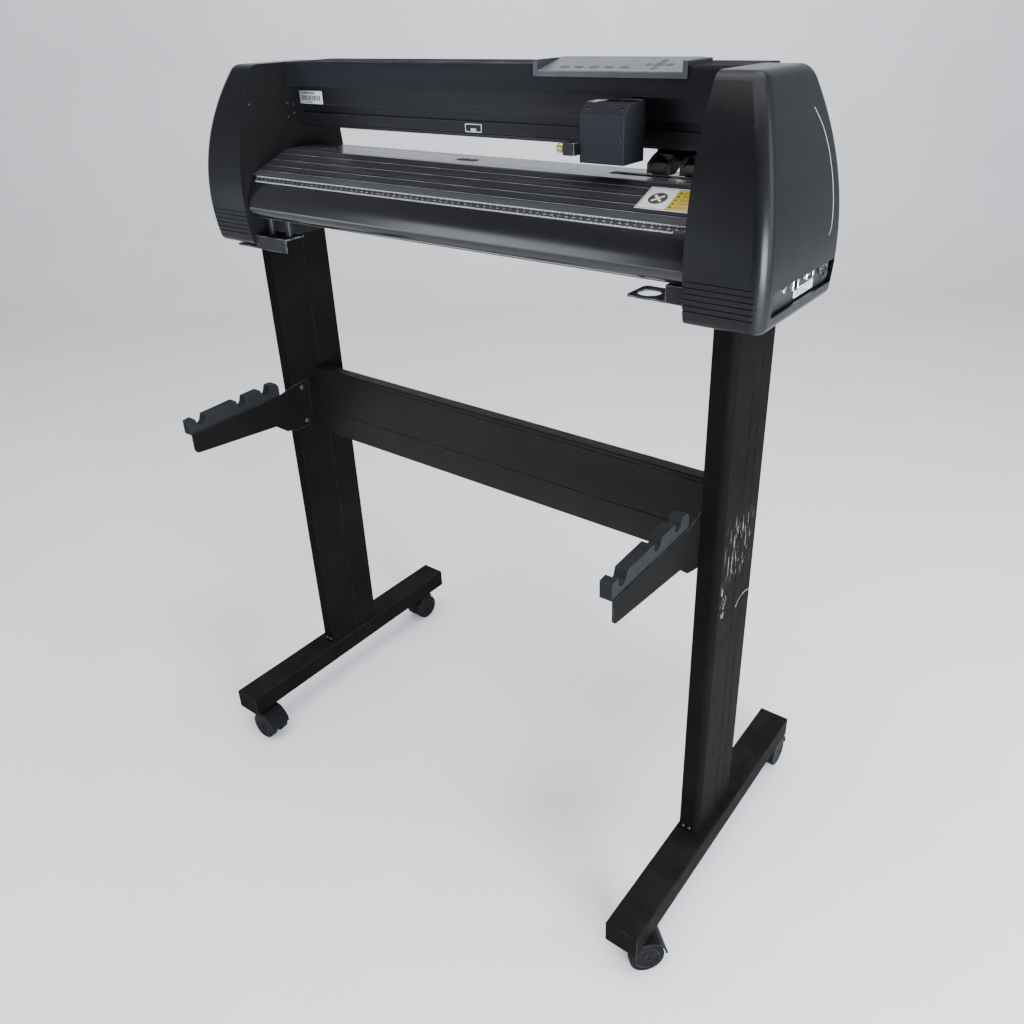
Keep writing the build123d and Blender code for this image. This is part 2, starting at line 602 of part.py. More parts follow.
def platen():
    """The platen extrusion: flat top, long grooved front slope, short rear slope, slots for the sleeves."""
    wall = 2.5
    slope = math.atan2(PLATEN_TOP - NOSE_Z, PLATEN_FRONT - NOSE_Y)
    outer = [(NOSE_Y, NOSE_Z), (PLATEN_FRONT, PLATEN_TOP), (PLATEN_REAR, PLATEN_TOP), (98.0, 989.0)]
    inner = [(98.0, 989.0 - wall * 1.15), (PLATEN_REAR - 1, PLATEN_TOP - wall),
             (PLATEN_FRONT + 1, PLATEN_TOP - wall), (NOSE_Y + 1.0, NOSE_Z - wall * 1.1)]
    skin = along_x(polygon(*(outer + inner)), -MEDIA_HALF, MEDIA_HALF)
    for y in (-4.0, 45.0):
        skin += block(-MEDIA_HALF, MEDIA_HALF, y - 1.2, y + 1.2, APRON_BOTTOM, PLATEN_TOP - wall + 0.5)
    for down in (12.5, 29.0, 46.0, 60.0):
        groove = Pos(0, PLATEN_FRONT - down * math.cos(slope), PLATEN_TOP - down * math.sin(slope))
        skin -= groove * Rot(math.degrees(slope), 0, 0) * Box(2 * MEDIA_HALF, 2.2, 2.0)
    for x0, x1 in SLEEVES:
        skin -= block(x0 - 1.0, x1 + 1.0, SHAFT_Y - 9.0, SHAFT_Y + 9.0, PLATEN_TOP - 6, PLATEN_TOP + 1)
    return skin


def apron_outline(inset):
    """The apron's outer face and underside in (Y, Z), moved inwards by the inset."""
    nose = (NOSE_Y + 0.4 + inset, NOSE_Z - 3.2 + inset)
    brow = (-91.5 + inset, 958.0 - inset * 0.3)
    chin = (-98.0 + inset, 937.0)
    toe = (-86.0, APRON_BOTTOM + inset)
    back = (-62.0, APRON_BOTTOM + inset)
    cheek = (-94.8 + inset * 0.8, 926.0 + inset * 0.5)
    front = ThreePointArc(nose, brow, chin)
    under = ThreePointArc(chin, cheek, toe)
    close = Polyline(toe, back, (-62.0, nose[1]), nose)
    return make_face([front, under] + list(close.edges()))


def front_apron():
    """The curved front sheet from the platen's nose down to the pan."""
    outer = apron_outline(0.0)
    inner = apron_outline(2.5)
    behind = polygon((-64.0, APRON_BOTTOM + 2.5), (-61.0, APRON_BOTTOM + 2.5), (-61.0, NOSE_Z + 9),
                     (-64.0, NOSE_Z + 9))
    return along_x(outer - inner - behind, -MEDIA_HALF, MEDIA_HALF)


def base_pan():
    """The folded tray under the machine, with a tall rear wall."""
    outline = polygon((-84.0, APRON_BOTTOM - PAN_THICK), (100.0, APRON_BOTTOM - PAN_THICK), (100.0, 986.0),
                      (98.0, 986.0), (98.0, APRON_BOTTOM), (-84.0, APRON_BOTTOM))
    return along_x(outline, -MEDIA_HALF, MEDIA_HALF)


# ---- feed drive ----

def grit_shaft():
    """The feed shaft with its large pulley at the left end."""
    shaft = rod_x(-376.0, 368.0, SHAFT_Y, SHAFT_Z, SHAFT_RADIUS)
    pulley = rod_x(-375.0, -366.5, SHAFT_Y, SHAFT_Z, FEED_PULLEY_RADIUS - 0.8)
    return shaft + pulley


def grit_sleeves():
    """Knurled sleeves on the shaft, each with fine ridges along it."""
    sleeves = []
    for x0, x1 in SLEEVES:
        sleeve = rod_x(x0, x1, SHAFT_Y, SHAFT_Z, SLEEVE_RADIUS)
        sleeve -= rod_x(x0 - 1, x1 + 1, SHAFT_Y, SHAFT_Z, SHAFT_RADIUS)
        sleeves.append(sleeve)
    return Compound(children=sleeves)


def shaft_bearings():
    """A plain bush in each side plate."""
    bushes = []
    for side in (-1, 1):
        x0, x1 = sorted((side * MEDIA_HALF, side * (MEDIA_HALF + 6)))
        bush = rod_x(x0, x1, SHAFT_Y, SHAFT_Z, BUSH_RADIUS)
        bush -= rod_x(x0 - 1, x1 + 1, SHAFT_Y, SHAFT_Z, SHAFT_RADIUS + 0.06)
        bushes.append(bush)
    return Compound(children=bushes)


def drive_motors():
    """Two square stepper motors: feed motor in the left cap, carriage motor in the right cap."""
    feed_z = SHAFT_Z - FEED_MOTOR_DROP
    feed = block(-412, -379, SHAFT_Y - 21, SHAFT_Y + 21, feed_z - 21, feed_z + 21)
    feed = chamfer(feed.edges().filter_by(Axis.X), 3.0)
    feed -= rod_x(-395, -378, SHAFT_Y, feed_z, 2.56)
    carriage = block(DRIVE_X - 17.5, DRIVE_X + 17.5, 27, 60, BELT_AXIS_Z - 17.5, BELT_AXIS_Z + 17.5)
    carriage = chamfer(carriage.edges().filter_by(Axis.Y), 3.0)
    carriage -= rod_y(DRIVE_X, 26, 44, BELT_AXIS_Z, 2.56)
    return Compound(children=[feed, carriage])


def feed_motor_pulley():
    """The small pulley and shaft of the feed motor."""
    z = SHAFT_Z - FEED_MOTOR_DROP
    pulley = rod_x(-375.0, -366.5, SHAFT_Y, z, FEED_MOTOR_PULLEY_RADIUS - 0.8)
    return pulley + rod_x(-394.0, -366.5, SHAFT_Y, z, 2.5)


def belt_loop(c0, r0, c1, r1, thick):
    """The outline of a flat belt around two pulleys, as a ring-shaped section in its own plane."""
    def hull(extra):
        big, small = r0 + extra, r1 + extra
        gap = math.hypot(c1[0] - c0[0], c1[1] - c0[1])
        along = math.atan2(c1[1] - c0[1], c1[0] - c0[0])
        lean = math.acos((big - small) / gap)
        corners = []
        ends = ((c0, big, lean), (c0, big, -lean), (c1, small, -lean), (c1, small, lean))
        for centre, radius, side in ends:
            turn = along + side
            corners.append((centre[0] + radius * math.cos(turn), centre[1] + radius * math.sin(turn)))
        return polygon(*corners) + Pos(*c0) * Circle(big) + Pos(*c1) * Circle(small)
    return hull(thick) - hull(0.0)


def drive_belts():
    """The feed belt in the left cap and the long carriage belt behind the fascia."""
    slack = -0.8 + 0.3
    feed = belt_loop((SHAFT_Y, SHAFT_Z), FEED_PULLEY_RADIUS + slack, (SHAFT_Y, SHAFT_Z - FEED_MOTOR_DROP),
                     FEED_MOTOR_PULLEY_RADIUS + slack, 1.0)
    feed = along_x(feed, -374.0, -367.5)
    ring = belt_loop((IDLER_X, BELT_AXIS_Z), BELT_PULLEY_RADIUS + 0.3, (DRIVE_X, BELT_AXIS_Z),
                     BELT_PULLEY_RADIUS + 0.3, 1.0)
    long_belt = extrude(Plane(origin=(0, BELT_Y + 3, 0), x_dir=(1, 0, 0), z_dir=(0, -1, 0)) * ring, amount=6)
    return Compound(children=[feed, long_belt])


def drive_pulley():
    """The carriage motor's pulley and shaft."""
    wheel = rod_y(DRIVE_X, BELT_Y - 4, BELT_Y + 4, BELT_AXIS_Z, BELT_PULLEY_RADIUS)
    return wheel + rod_y(DRIVE_X, BELT_Y - 4, 42, BELT_AXIS_Z, 2.5)


def idler_pulley():
    """The free pulley at the other end of the carriage belt, running on a pin of the beam."""
    wheel = rod_y(IDLER_X, BELT_Y - 4, BELT_Y + 4, BELT_AXIS_Z, BELT_PULLEY_RADIUS)
    return wheel - rod_y(IDLER_X, 5, 30, BELT_AXIS_Z, 2.06)


# ---- carriage ----

def carriage_plate():
    """The steel plate with two guide shoes in the beam's channel and a tab up to the belt."""
    plate = block(CARRIAGE_LEFT + 3, CARRIAGE_RIGHT - 3, 12, 15, 1044, 1090)
    for x in (CARRIAGE_LEFT + 13, CARRIAGE_RIGHT - 13):
        plate += block(x - 8, x + 8, 15, 32.4, CHANNEL_BOTTOM + 0.5, BEAM_STEP - 0.5)
        plate += block(x - 8, x + 8, 15, 23.4, CHANNEL_BOTTOM + 0.5, BEAM_STEP + 8)
    middle = (CARRIAGE_LEFT + CARRIAGE_RIGHT) / 2
    plate += block(middle - 8, middle + 8, 12, 15, 1088, BELT_AXIS_Z - BELT_PULLEY_RADIUS - 1.7)
    for x in (CARRIAGE_LEFT + 8, CARRIAGE_RIGHT - 8):
        plate += rod_y(x, CARRIAGE_FRONT + 3, 13, 1052, 3.0)
    return plate


def carriage_cover():
    """The moulded cover: a box open behind and below, with a sloping brow and recessed screw holes."""
    wall = 2.0
    brow_y = CARRIAGE_FRONT + 13.0
    brow_z = CARRIAGE_TOP - 11.8
    outer = polygon((CARRIAGE_REAR, CARRIAGE_BOTTOM), (CARRIAGE_FRONT, CARRIAGE_BOTTOM),
                    (CARRIAGE_FRONT, brow_z), (brow_y, CARRIAGE_TOP), (CARRIAGE_REAR, CARRIAGE_TOP))
    shell = along_x(outer, CARRIAGE_LEFT, CARRIAGE_RIGHT)
    sides = shell.edges().filter_by(lambda e: abs(e.bounding_box().size.X) < 0.01)
    shell = fillet(sides.filter_by(lambda e: e.center().Y < brow_y + 0.1), 1.6)
    inner = polygon((CARRIAGE_REAR + 1, CARRIAGE_BOTTOM - 1), (CARRIAGE_FRONT + wall, CARRIAGE_BOTTOM - 1),
                    (CARRIAGE_FRONT + wall, brow_z - 1), (brow_y + 1, CARRIAGE_TOP - wall),
                    (CARRIAGE_REAR + 1, CARRIAGE_TOP - wall))
    shell -= along_x(inner, CARRIAGE_LEFT + wall, CARRIAGE_RIGHT - wall)
    for x in (CARRIAGE_LEFT + 6.5, CARRIAGE_RIGHT - 7.0):
        hole = Plane(origin=(x, CARRIAGE_FRONT + 7.2, CARRIAGE_TOP - 5.2), z_dir=(0, -11.8, 13.0))
        shell -= hole * Cylinder(2.3, 9)
    shell -= rod_y(CARRIAGE_RIGHT - 5.5, CARRIAGE_FRONT - 1, CARRIAGE_FRONT + 4, 1051, 2.3)
    shell -= block(CARRIAGE_LEFT - 1, CARRIAGE_LEFT + 4, -32.0, -17.5, 1029.0, 1049.5)
    return shell


def tool_clamp():
    """The clamp beside the cover: a block with an upright bore and an arm that reaches inside the cover."""
    top = TOOL_BOTTOM + TOOL_HEIGHT
    body = block(TOOL_FACE, CARRIAGE_LEFT - 0.8, TOOL_Y - 8, TOOL_Y + 13, TOOL_BOTTOM, top)
    body = fillet(body.edges().filter_by(Axis.Z), 1.8)
    body += block(CARRIAGE_LEFT - 5, CARRIAGE_LEFT + 24, -30.5, -24.0, TOOL_BOTTOM + 2, TOOL_BOTTOM + 12)
    body -= rod_z(TOOL_X, TOOL_Y, TOOL_BOTTOM - 1, TOOL_BOTTOM + TOOL_HEIGHT + 1, TOOL_BORE)
    body -= rod_x(TOOL_FACE - 1, TOOL_X, TOOL_Y, KNOB_Z, 2.56)
    return body


def clamp_knob():
    """The brass thumb screw that holds the blade holder."""
    head = rod_x(TOOL_FACE - 10.6, TOOL_FACE - 1.2, TOOL_Y, KNOB_Z, 5.4)
    head = chamfer(head.edges(), 0.6)
    for i in range(24):
        turn = i * 15.0
        groove = Rot(turn, 0, 0) * Pos(0, 5.5, 0) * Rot(45, 0, 0) * Box(9.8, 0.7, 0.7)
        head -= Pos(TOOL_FACE - 5.9, TOOL_Y, KNOB_Z) * groove
    return head + rod_x(TOOL_FACE - 2, TOOL_X - 6.2, TOOL_Y, KNOB_Z, 2.5)


# ---- pinch rollers ----

def pinch_block(x):
    """The block that slides along the beam's lower slot and carries the arm's pivot pin."""
    low = 1021.0
    high = BEAM_BOTTOM - 0.4
    body = block(x - PINCH_HALF, x + PINCH_HALF, 46, 84, high - 3, high)
    for way in (-1, 1):
        x0, x1 = sorted((x + way * (PINCH_HALF - 3.5), x + way * PINCH_HALF))
        body += block(x0, x1, 46, 78, low, high)
    body += block(x - 12, x + 12, 56.4, 67.6, high, BEAM_BOTTOM + 9.5)
    reach = PINCH_HALF - 3
    return body + rod_x(x - reach, x + reach, PINCH_PIVOT_Y, PINCH_PIVOT_Z, PINCH_PIN)


def pinch_arm(x):
    """The forked arm from the pivot forward to the roller, with a thumb tab behind."""
    side = polygon((15.5, PINCH_Z - 5), (27.5, PINCH_Z - 5), (44, 1021), (66, 1023.5), (90, 1030.5),
                   (90, 1033.5), (68, 1034.0), (56, 1035.0), (44, 1034.5), (27, 1029.0), (15.5, PINCH_Z + 6))
    arm = along_x(side, x - PINCH_ARM_HALF, x + PINCH_ARM_HALF)
    arm -= block(x - PINCH_ROLLER_HALF - 0.5, x + PINCH_ROLLER_HALF + 0.5, 10, 33, 1000, 1040)
    arm -= rod_x(x - 20, x + 20, PINCH_PIVOT_Y, PINCH_PIVOT_Z, PINCH_PIN + 0.06)
    return arm - rod_x(x - 20, x + 20, SHAFT_Y, PINCH_Z, 2.06)


def pinch_roller(x):
    """A rubber roller on its pin."""
    tyre = rod_x(x - PINCH_ROLLER_HALF, x + PINCH_ROLLER_HALF, SHAFT_Y, PINCH_Z, PINCH_RADIUS)
    tyre = fillet(tyre.edges(), 0.8)
    return tyre + rod_x(x - PINCH_ARM_HALF, x + PINCH_ARM_HALF, SHAFT_Y, PINCH_Z, 2.0)


# ---- electronics ----

def main_board():
    """Controller board with a few tall parts, on the pan behind the platen's ribs."""
    board = block(90, 300, 52, 94, 930, 931.6)
    for x in (110, 150, 190):
        board += rod_z(x, 62, 931.6, 946, 5.0)
    board += block(215, 245, 60, 88, 931.6, 944)
    board += block(255, 285, 58, 78, 931.6, 935)
    for x in (95, 295):
        for y in (56, 90):
            board += rod_z(x, y, APRON_BOTTOM, 930.5, 3.0)
    return board


def port_panel():
    """The recessed plate in the right cap with a square data socket, a serial port and a power jack."""
    face = PORT_FACE
    plate = block(face - 2, face, -82, 96, 893, 926)
    data = block(face, face + 4.5, -19, -7, 910.5, 922)
    data -= block(face - 6, face + 5, -17, -9, 912.2, 920.3)
    plate -= block(face - 6, face + 5, -17, -9, 912.2, 920.3)
    well = block(face - 9, face - 2, -18.5, -7.5, 910.7, 921.8) - block(face - 8, face, -17, -9, 912.2, 920.3)
    serial = along_x(fillet((Pos(SERIAL_Y, 918.0) * Rectangle(17, 9)).vertices(), 2.6), face, face + 4.5)
    mouth = fillet((Pos(SERIAL_Y, 918.0) * Rectangle(15.4, 7.4)).vertices(), 2.2)
    serial -= along_x(mouth, face + 1.5, face + 5)
    ports = plate + data + well + serial
    for y in (SERIAL_Y - 13.2, SERIAL_Y + 13.2):
        ports += rod_x(face, face + 3.5, y, 918.0, 2.2)
    jack = rod_x(face, face + 4.0, JACK_Y, 916.5, 6.0) - rod_x(face + 0.5, face + 5, JACK_Y, 916.5, 3.6)
    ports += jack
    ports += rod_x(face, face + 2.5, JACK_Y, 916.5, 1.1)
    well_half = ROCKER_WIDTH / 2 + 0.5
    ports += block(face, face + 2.0, ROCKER_Y - 9, ROCKER_Y + 9, 902, 923)
    return ports - block(face - 3, face + 3, ROCKER_Y - well_half, ROCKER_Y + well_half, 904.5, 920.5)


def power_rocker():
    """The rocker of the power switch: a shallow V, pressed at its lower end, rocking about a level axis."""
    low = ROCKER_Z - ROCKER_HALF
    high = ROCKER_Z + ROCKER_HALF
    outline = polygon((PORT_FACE - 3, low), (PORT_FACE + 3.2, low), (PORT_FACE + 1.8, ROCKER_Z),
                      (PORT_FACE + 3.2, high), (PORT_FACE - 3, high))
    near = Plane(origin=(0, ROCKER_Y - ROCKER_WIDTH / 2, 0), x_dir=(1, 0, 0), z_dir=(0, -1, 0))
    body = extrude(near * outline, amount=-ROCKER_WIDTH)
    axis = Pos(ROCKER_AXIS, ROCKER_Y, ROCKER_Z)
    return axis * Rot(0, -ROCKER_TILT, 0) * axis.inverse() * body


def write_stand():
    """Everything that stays on the floor."""
    save("left_foot", foot(-FOOT_X))
    save("right_foot", foot(FOOT_X))
    save("foot_end_plugs", foot_end_plugs())
    save("left_column", column(-1))
    save("right_column", column(1))
    save("crossbar", crossbar())
    save("roll_arms", Compound(children=[roll_arm(-COLUMN_INNER), roll_arm(COLUMN_INNER - SHEET)]))
    save("roll_rests", roll_rests())
    save("stand_screws", stand_screws())
    save("stand_brackets", stand_brackets())
    for name, (x, y, angle) in CASTERS.items():
        place = Pos(x, y, 0) * Rot(0, 0, angle)
        save(name + "_caster_hood", place * caster_hood())
        save(name + "_caster_wheels", place * caster_wheels())


def write_machine():
    """Caps, beam, platen and what is fixed to them."""
    save("left_end_cap", left_end_cap())
    save("right_end_cap", right_end_cap())
    save("side_plates", side_plates())
    save("beam", beam())
    save("beam_cover", beam_cover())
    save("guide_rail", guide_rail())
    save("platen", platen())
    save("front_apron", front_apron())
    save("base_pan", base_pan())
    save("panel_frame", panel_frame())
    save("panel_membrane", panel_membrane())
    save("shaft_bearings", shaft_bearings())
    save("drive_motors", drive_motors())
    save("drive_belts", drive_belts())
    save("main_board", main_board())
    save("port_panel", port_panel())


def write_movers():
    """Everything that moves on the machine."""
    save("grit_shaft", grit_shaft())
    save("grit_sleeves", grit_sleeves())
    save("feed_motor_pulley", feed_motor_pulley())
    save("drive_pulley", drive_pulley())
    save("idler_pulley", idler_pulley())
    save("carriage_plate", carriage_plate())
    save("carriage_cover", carriage_cover())
    save("tool_clamp", tool_clamp())
    save("clamp_knob", clamp_knob())
    save("power_rocker", power_rocker())
    for side, x in PINCH_X.items():
        save(side + "_pinch_block", pinch_block(x))
        save(side + "_pinch_arm", pinch_arm(x))
        save(side + "_pinch_roller", pinch_roller(x))
    for name in key_places():
        save(name, key(name))


os.makedirs("parts", exist_ok=True)
write_stand()
write_machine()
write_movers()
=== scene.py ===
import json
import math

import bmesh
import bpy
from mathutils import Matrix, Vector


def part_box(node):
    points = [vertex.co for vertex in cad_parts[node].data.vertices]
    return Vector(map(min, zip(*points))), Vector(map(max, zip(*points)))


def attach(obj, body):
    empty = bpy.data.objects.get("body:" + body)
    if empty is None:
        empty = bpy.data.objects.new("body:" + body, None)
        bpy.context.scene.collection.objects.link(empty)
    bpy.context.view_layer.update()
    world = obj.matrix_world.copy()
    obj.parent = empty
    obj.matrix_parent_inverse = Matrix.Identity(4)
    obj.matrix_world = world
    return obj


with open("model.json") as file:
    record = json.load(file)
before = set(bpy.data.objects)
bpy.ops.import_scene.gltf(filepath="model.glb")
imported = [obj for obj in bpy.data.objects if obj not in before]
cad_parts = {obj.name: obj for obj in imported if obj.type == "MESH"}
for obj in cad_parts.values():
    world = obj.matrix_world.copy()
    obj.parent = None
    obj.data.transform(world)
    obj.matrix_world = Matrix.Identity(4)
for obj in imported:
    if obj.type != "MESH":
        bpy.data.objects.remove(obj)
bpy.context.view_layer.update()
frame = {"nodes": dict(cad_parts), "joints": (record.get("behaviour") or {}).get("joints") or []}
ROOT = "machine_and_stand"
MM = 0.001


# ---------------------------------------------------------------- materials

def node(tree, kind, **values):
    """Add a shader node and set its inputs (by name) or its properties."""
    made = tree.nodes.new(kind)
    for key, value in values.items():
        if key in made.inputs:
            made.inputs[key].default_value = value
        else:
            setattr(made, key, value)
    return made


def noise(tree, coords, scale, detail=3.0, rough=0.55, stretch=(1, 1, 1)):
    """Procedural noise in the object's own metres, stretched along an axis if asked."""
    mapping = node(tree, "ShaderNodeMapping")
    mapping.inputs["Scale"].default_value = stretch
    tree.links.new(coords, mapping.inputs["Vector"])
    made = node(tree, "ShaderNodeTexNoise", Scale=scale, Detail=detail, Roughness=rough)
    tree.links.new(mapping.outputs[0], made.inputs["Vector"])
    return made.outputs["Fac"]


def remap(tree, value, low, high, to_low=0.0, to_high=1.0, smooth=False):
    """Map a value from one range to another, clamped."""
    made = node(tree, "ShaderNodeMapRange")
    made.clamp = True
    if smooth:
        made.interpolation_type = "SMOOTHSTEP"
    for index, number in ((1, low), (2, high), (3, to_low), (4, to_high)):
        made.inputs[index].default_value = number
    tree.links.new(value, made.inputs[0])
    return made.outputs[0]


def math_node(tree, operation, a, b):
    """One arithmetic step between two values, each a socket or a number."""
    made = node(tree, "ShaderNodeMath", operation=operation)
    for index, value in ((0, a), (1, b)):
        if isinstance(value, (int, float)):
            made.inputs[index].default_value = value
        else:
            tree.links.new(value, made.inputs[index])
    return made.outputs[0]


def mix_colour(tree, factor, first, second):
    """Blend two colours by a socket's value; each colour is a socket or an RGB triple."""
    made = node(tree, "ShaderNodeMix", data_type="RGBA")
    tree.links.new(factor, made.inputs[0])
    for index, value in ((6, first), (7, second)):
        if isinstance(value, tuple):
            made.inputs[index].default_value = (*value, 1)
        else:
            tree.links.new(value, made.inputs[index])
    return made.outputs[2]


def start_material(name):
    """A new material with its shader and the object's coordinates."""
    material = bpy.data.materials.new(name)
    material.use_nodes = True
    tree = material.node_tree
    shader = tree.nodes["Principled BSDF"]
    coords = tree.nodes.new("ShaderNodeTexCoord").outputs["Object"]
    return material, tree, shader, coords


def edge_mask(tree, coords, radius):
    """Bright where the surface turns sharply, broken up by noise."""
    bevel = node(tree, "ShaderNodeBevel", Radius=radius)
    bevel.samples = 4
    geometry = tree.nodes.new("ShaderNodeNewGeometry")
    dot = node(tree, "ShaderNodeVectorMath", operation="DOT_PRODUCT")
    tree.links.new(bevel.outputs[0], dot.inputs[0])
    tree.links.new(geometry.outputs["Normal"], dot.inputs[1])
    sharp = remap(tree, dot.outputs["Value"], 0.995, 0.88)
    broken = remap(tree, noise(tree, coords, 55, 5, 0.65), 0.38, 0.62)
    return math_node(tree, "MULTIPLY", sharp, broken)


def dust_mask(tree, coords, amount):
    """A film on faces that look up, thicker in patches: a dusting where its colour is pale, painted shade where its
    colour is dark.
    """
    geometry = tree.nodes.new("ShaderNodeNewGeometry")
    split = tree.nodes.new("ShaderNodeSeparateXYZ")
    tree.links.new(geometry.outputs["Normal"], split.inputs[0])
    up = remap(tree, split.outputs["Z"], 0.25, 0.95, smooth=True)
    patches = remap(tree, noise(tree, coords, 14, 6, 0.7), 0.35, 0.75, 0.25, 1.0)
    return math_node(tree, "MULTIPLY", math_node(tree, "MULTIPLY", up, patches), amount)


def solid(name, dark, light, rough, metal=0.0, grain=(900, 0.08), blotch=9.0, stretch=(1, 1, 1),
          dust_and_shade=0.0, edge=0.0, edge_wear_and_highlight_colour=(0.16, 0.16, 0.17), dust_and_shade_colour=(0.23, 0.22, 0.20), coat=0.0,
          specular=0.5, scratches=0.0):
    """The general finish: two-tone base, grain bump, uneven gloss, a film on upward faces (a dusting on most
    finishes, painted shade on the cover and carriage), edge wear (on the bracket also a painted edge highlight) and
    fine scratches.
    """
    material, tree, shader, coords = start_material(name)
    broad = remap(tree, noise(tree, coords, blotch, 5, 0.6, stretch), 0.3, 0.7)
    colour = mix_colour(tree, broad, dark, light)
    fine = noise(tree, coords, grain[0], 2, 0.5, stretch)
    colour = mix_colour(tree, remap(tree, fine, 0.35, 0.7, 0.0, 0.35), colour, light)
    gloss = noise(tree, coords, blotch * 6, 6, 0.65, stretch)
    roughness = remap(tree, gloss, 0.3, 0.7, rough[0], rough[1])
    if scratches:
        lines = noise(tree, coords, 38, 9, 0.75, (1.0, 9.0, 0.6))
        marks = remap(tree, lines, 0.63, 0.68, 0.0, scratches)
        colour = mix_colour(tree, marks, colour, edge_wear_and_highlight_colour)
        roughness = math_node(tree, "ADD", roughness, math_node(tree, "MULTIPLY", marks, 0.25))
    if dust_and_shade:
        film = dust_mask(tree, coords, dust_and_shade)
        colour = mix_colour(tree, film, colour, dust_and_shade_colour)
        roughness = math_node(tree, "ADD", roughness, math_node(tree, "MULTIPLY", film, 0.5))
    if edge:
        # edge wear, and on the bracket a painted edge highlight as well
        edge_wear_and_highlight = math_node(tree, "MULTIPLY", edge_mask(tree, coords, 0.0014), edge)
        colour = mix_colour(tree, edge_wear_and_highlight, colour, edge_wear_and_highlight_colour)
    bump = node(tree, "ShaderNodeBump", Strength=grain[1], Distance=0.0004)
    tree.links.new(fine, bump.inputs["Height"])
    tree.links.new(bump.outputs[0], shader.inputs["Normal"])
    tree.links.new(colour, shader.inputs["Base Color"])
    tree.links.new(roughness, shader.inputs["Roughness"])
    shader.inputs["Metallic"].default_value = metal
    shader.inputs["Specular IOR Level"].default_value = specular
    shader.inputs["Coat Weight"].default_value = coat
    shader.inputs["Coat Roughness"].default_value = 0.15
    return material


def region(tree, coords, low, high, soft):
    """One inside a box of the object's space, falling to nothing over the soft margin."""
    split = tree.nodes.new("ShaderNodeSeparateXYZ")
    tree.links.new(coords, split.inputs[0])
    total = None
    for axis in range(3):
        rise = remap(tree, split.outputs[axis], low[axis] - soft, low[axis] + soft)
        fall = remap(tree, split.outputs[axis], high[axis] + soft, high[axis] - soft)
        part = math_node(tree, "MULTIPLY", rise, fall)
        total = part if total is None else math_node(tree, "MULTIPLY", total, part)
    return total


COOL_DUST = (0.13, 0.135, 0.15)
STAND_DARK = (0.0036, 0.0033, 0.0028)
STAND_LIGHT = (0.0062, 0.0057, 0.0048)
STAND_CHIP = (0.05, 0.047, 0.042)
SCUFF_BOX = ((0.400, -0.034, 0.532), (0.420, 0.030, 0.612))
FLECK_BOX = ((0.400, -0.042, 0.465), (0.420, -0.030, 0.532))


def scuffed_column(name):
    """The column paint with a cluster of pale scuffs and runs on its outer face."""
    material = solid(name, STAND_DARK, STAND_LIGHT, (0.36, 0.48), grain=(650, 0.10),
                     dust_and_shade=0.04, edge=0.3, scratches=0.05, specular=0.006, edge_wear_and_highlight_colour=STAND_CHIP)
    tree = material.node_tree
    shader = tree.nodes["Principled BSDF"]
    coords = [n for n in tree.nodes if n.type == "TEX_COORD"][0].outputs["Object"]
    base = shader.inputs["Base Color"].links[0].from_socket
    patch = region(tree, coords, *SCUFF_BOX, 0.012)
    runs = remap(tree, noise(tree, coords, 200, 3, 0.6, (1.0, 1.2, 0.22)), 0.57, 0.62)
    low = region(tree, coords, *FLECK_BOX, 0.006)
    flecks = remap(tree, noise(tree, coords, 260, 2, 0.5, (1.0, 1.0, 0.35)), 0.60, 0.65)
    marks = math_node(tree, "MULTIPLY", patch, runs)
    marks = math_node(tree, "MAXIMUM", marks, math_node(tree, "MULTIPLY", low, flecks))
    colour = mix_colour(tree, math_node(tree, "MULTIPLY", marks, 0.9), base, (0.17, 0.17, 0.17))
    tree.links.new(colour, shader.inputs["Base Color"])
    return material


def knurled(name, colour, ridge_scale, axis_stretch, metal=1.0):
    """A finely ridged surface: knurled metal, belt rubber or a flat cable."""
    material, tree, shader, coords = start_material(name)
    ridges = noise(tree, coords, ridge_scale, 1, 0.4, axis_stretch)
    tone = mix_colour(tree, remap(tree, ridges, 0.4, 0.6), tuple(c * 0.45 for c in colour), colour)
    tree.links.new(tone, shader.inputs["Base Color"])
    bump = node(tree, "ShaderNodeBump", Strength=0.5, Distance=0.0003)
    tree.links.new(ridges, bump.inputs["Height"])
    tree.links.new(bump.outputs[0], shader.inputs["Normal"])
    tree.links.new(remap(tree, ridges, 0.3, 0.7, 0.28, 0.5), shader.inputs["Roughness"])
    shader.inputs["Metallic"].default_value = metal
    return material


# Heights in metres over which the platen's finish changes: up to its flat top, and down to the foot of the slope,
# where a paler band is a painted highlight.
TOP_BAND = (1.0066, 1.0078)
TOE_HIGHLIGHT_BAND = (0.9846, 0.9838)


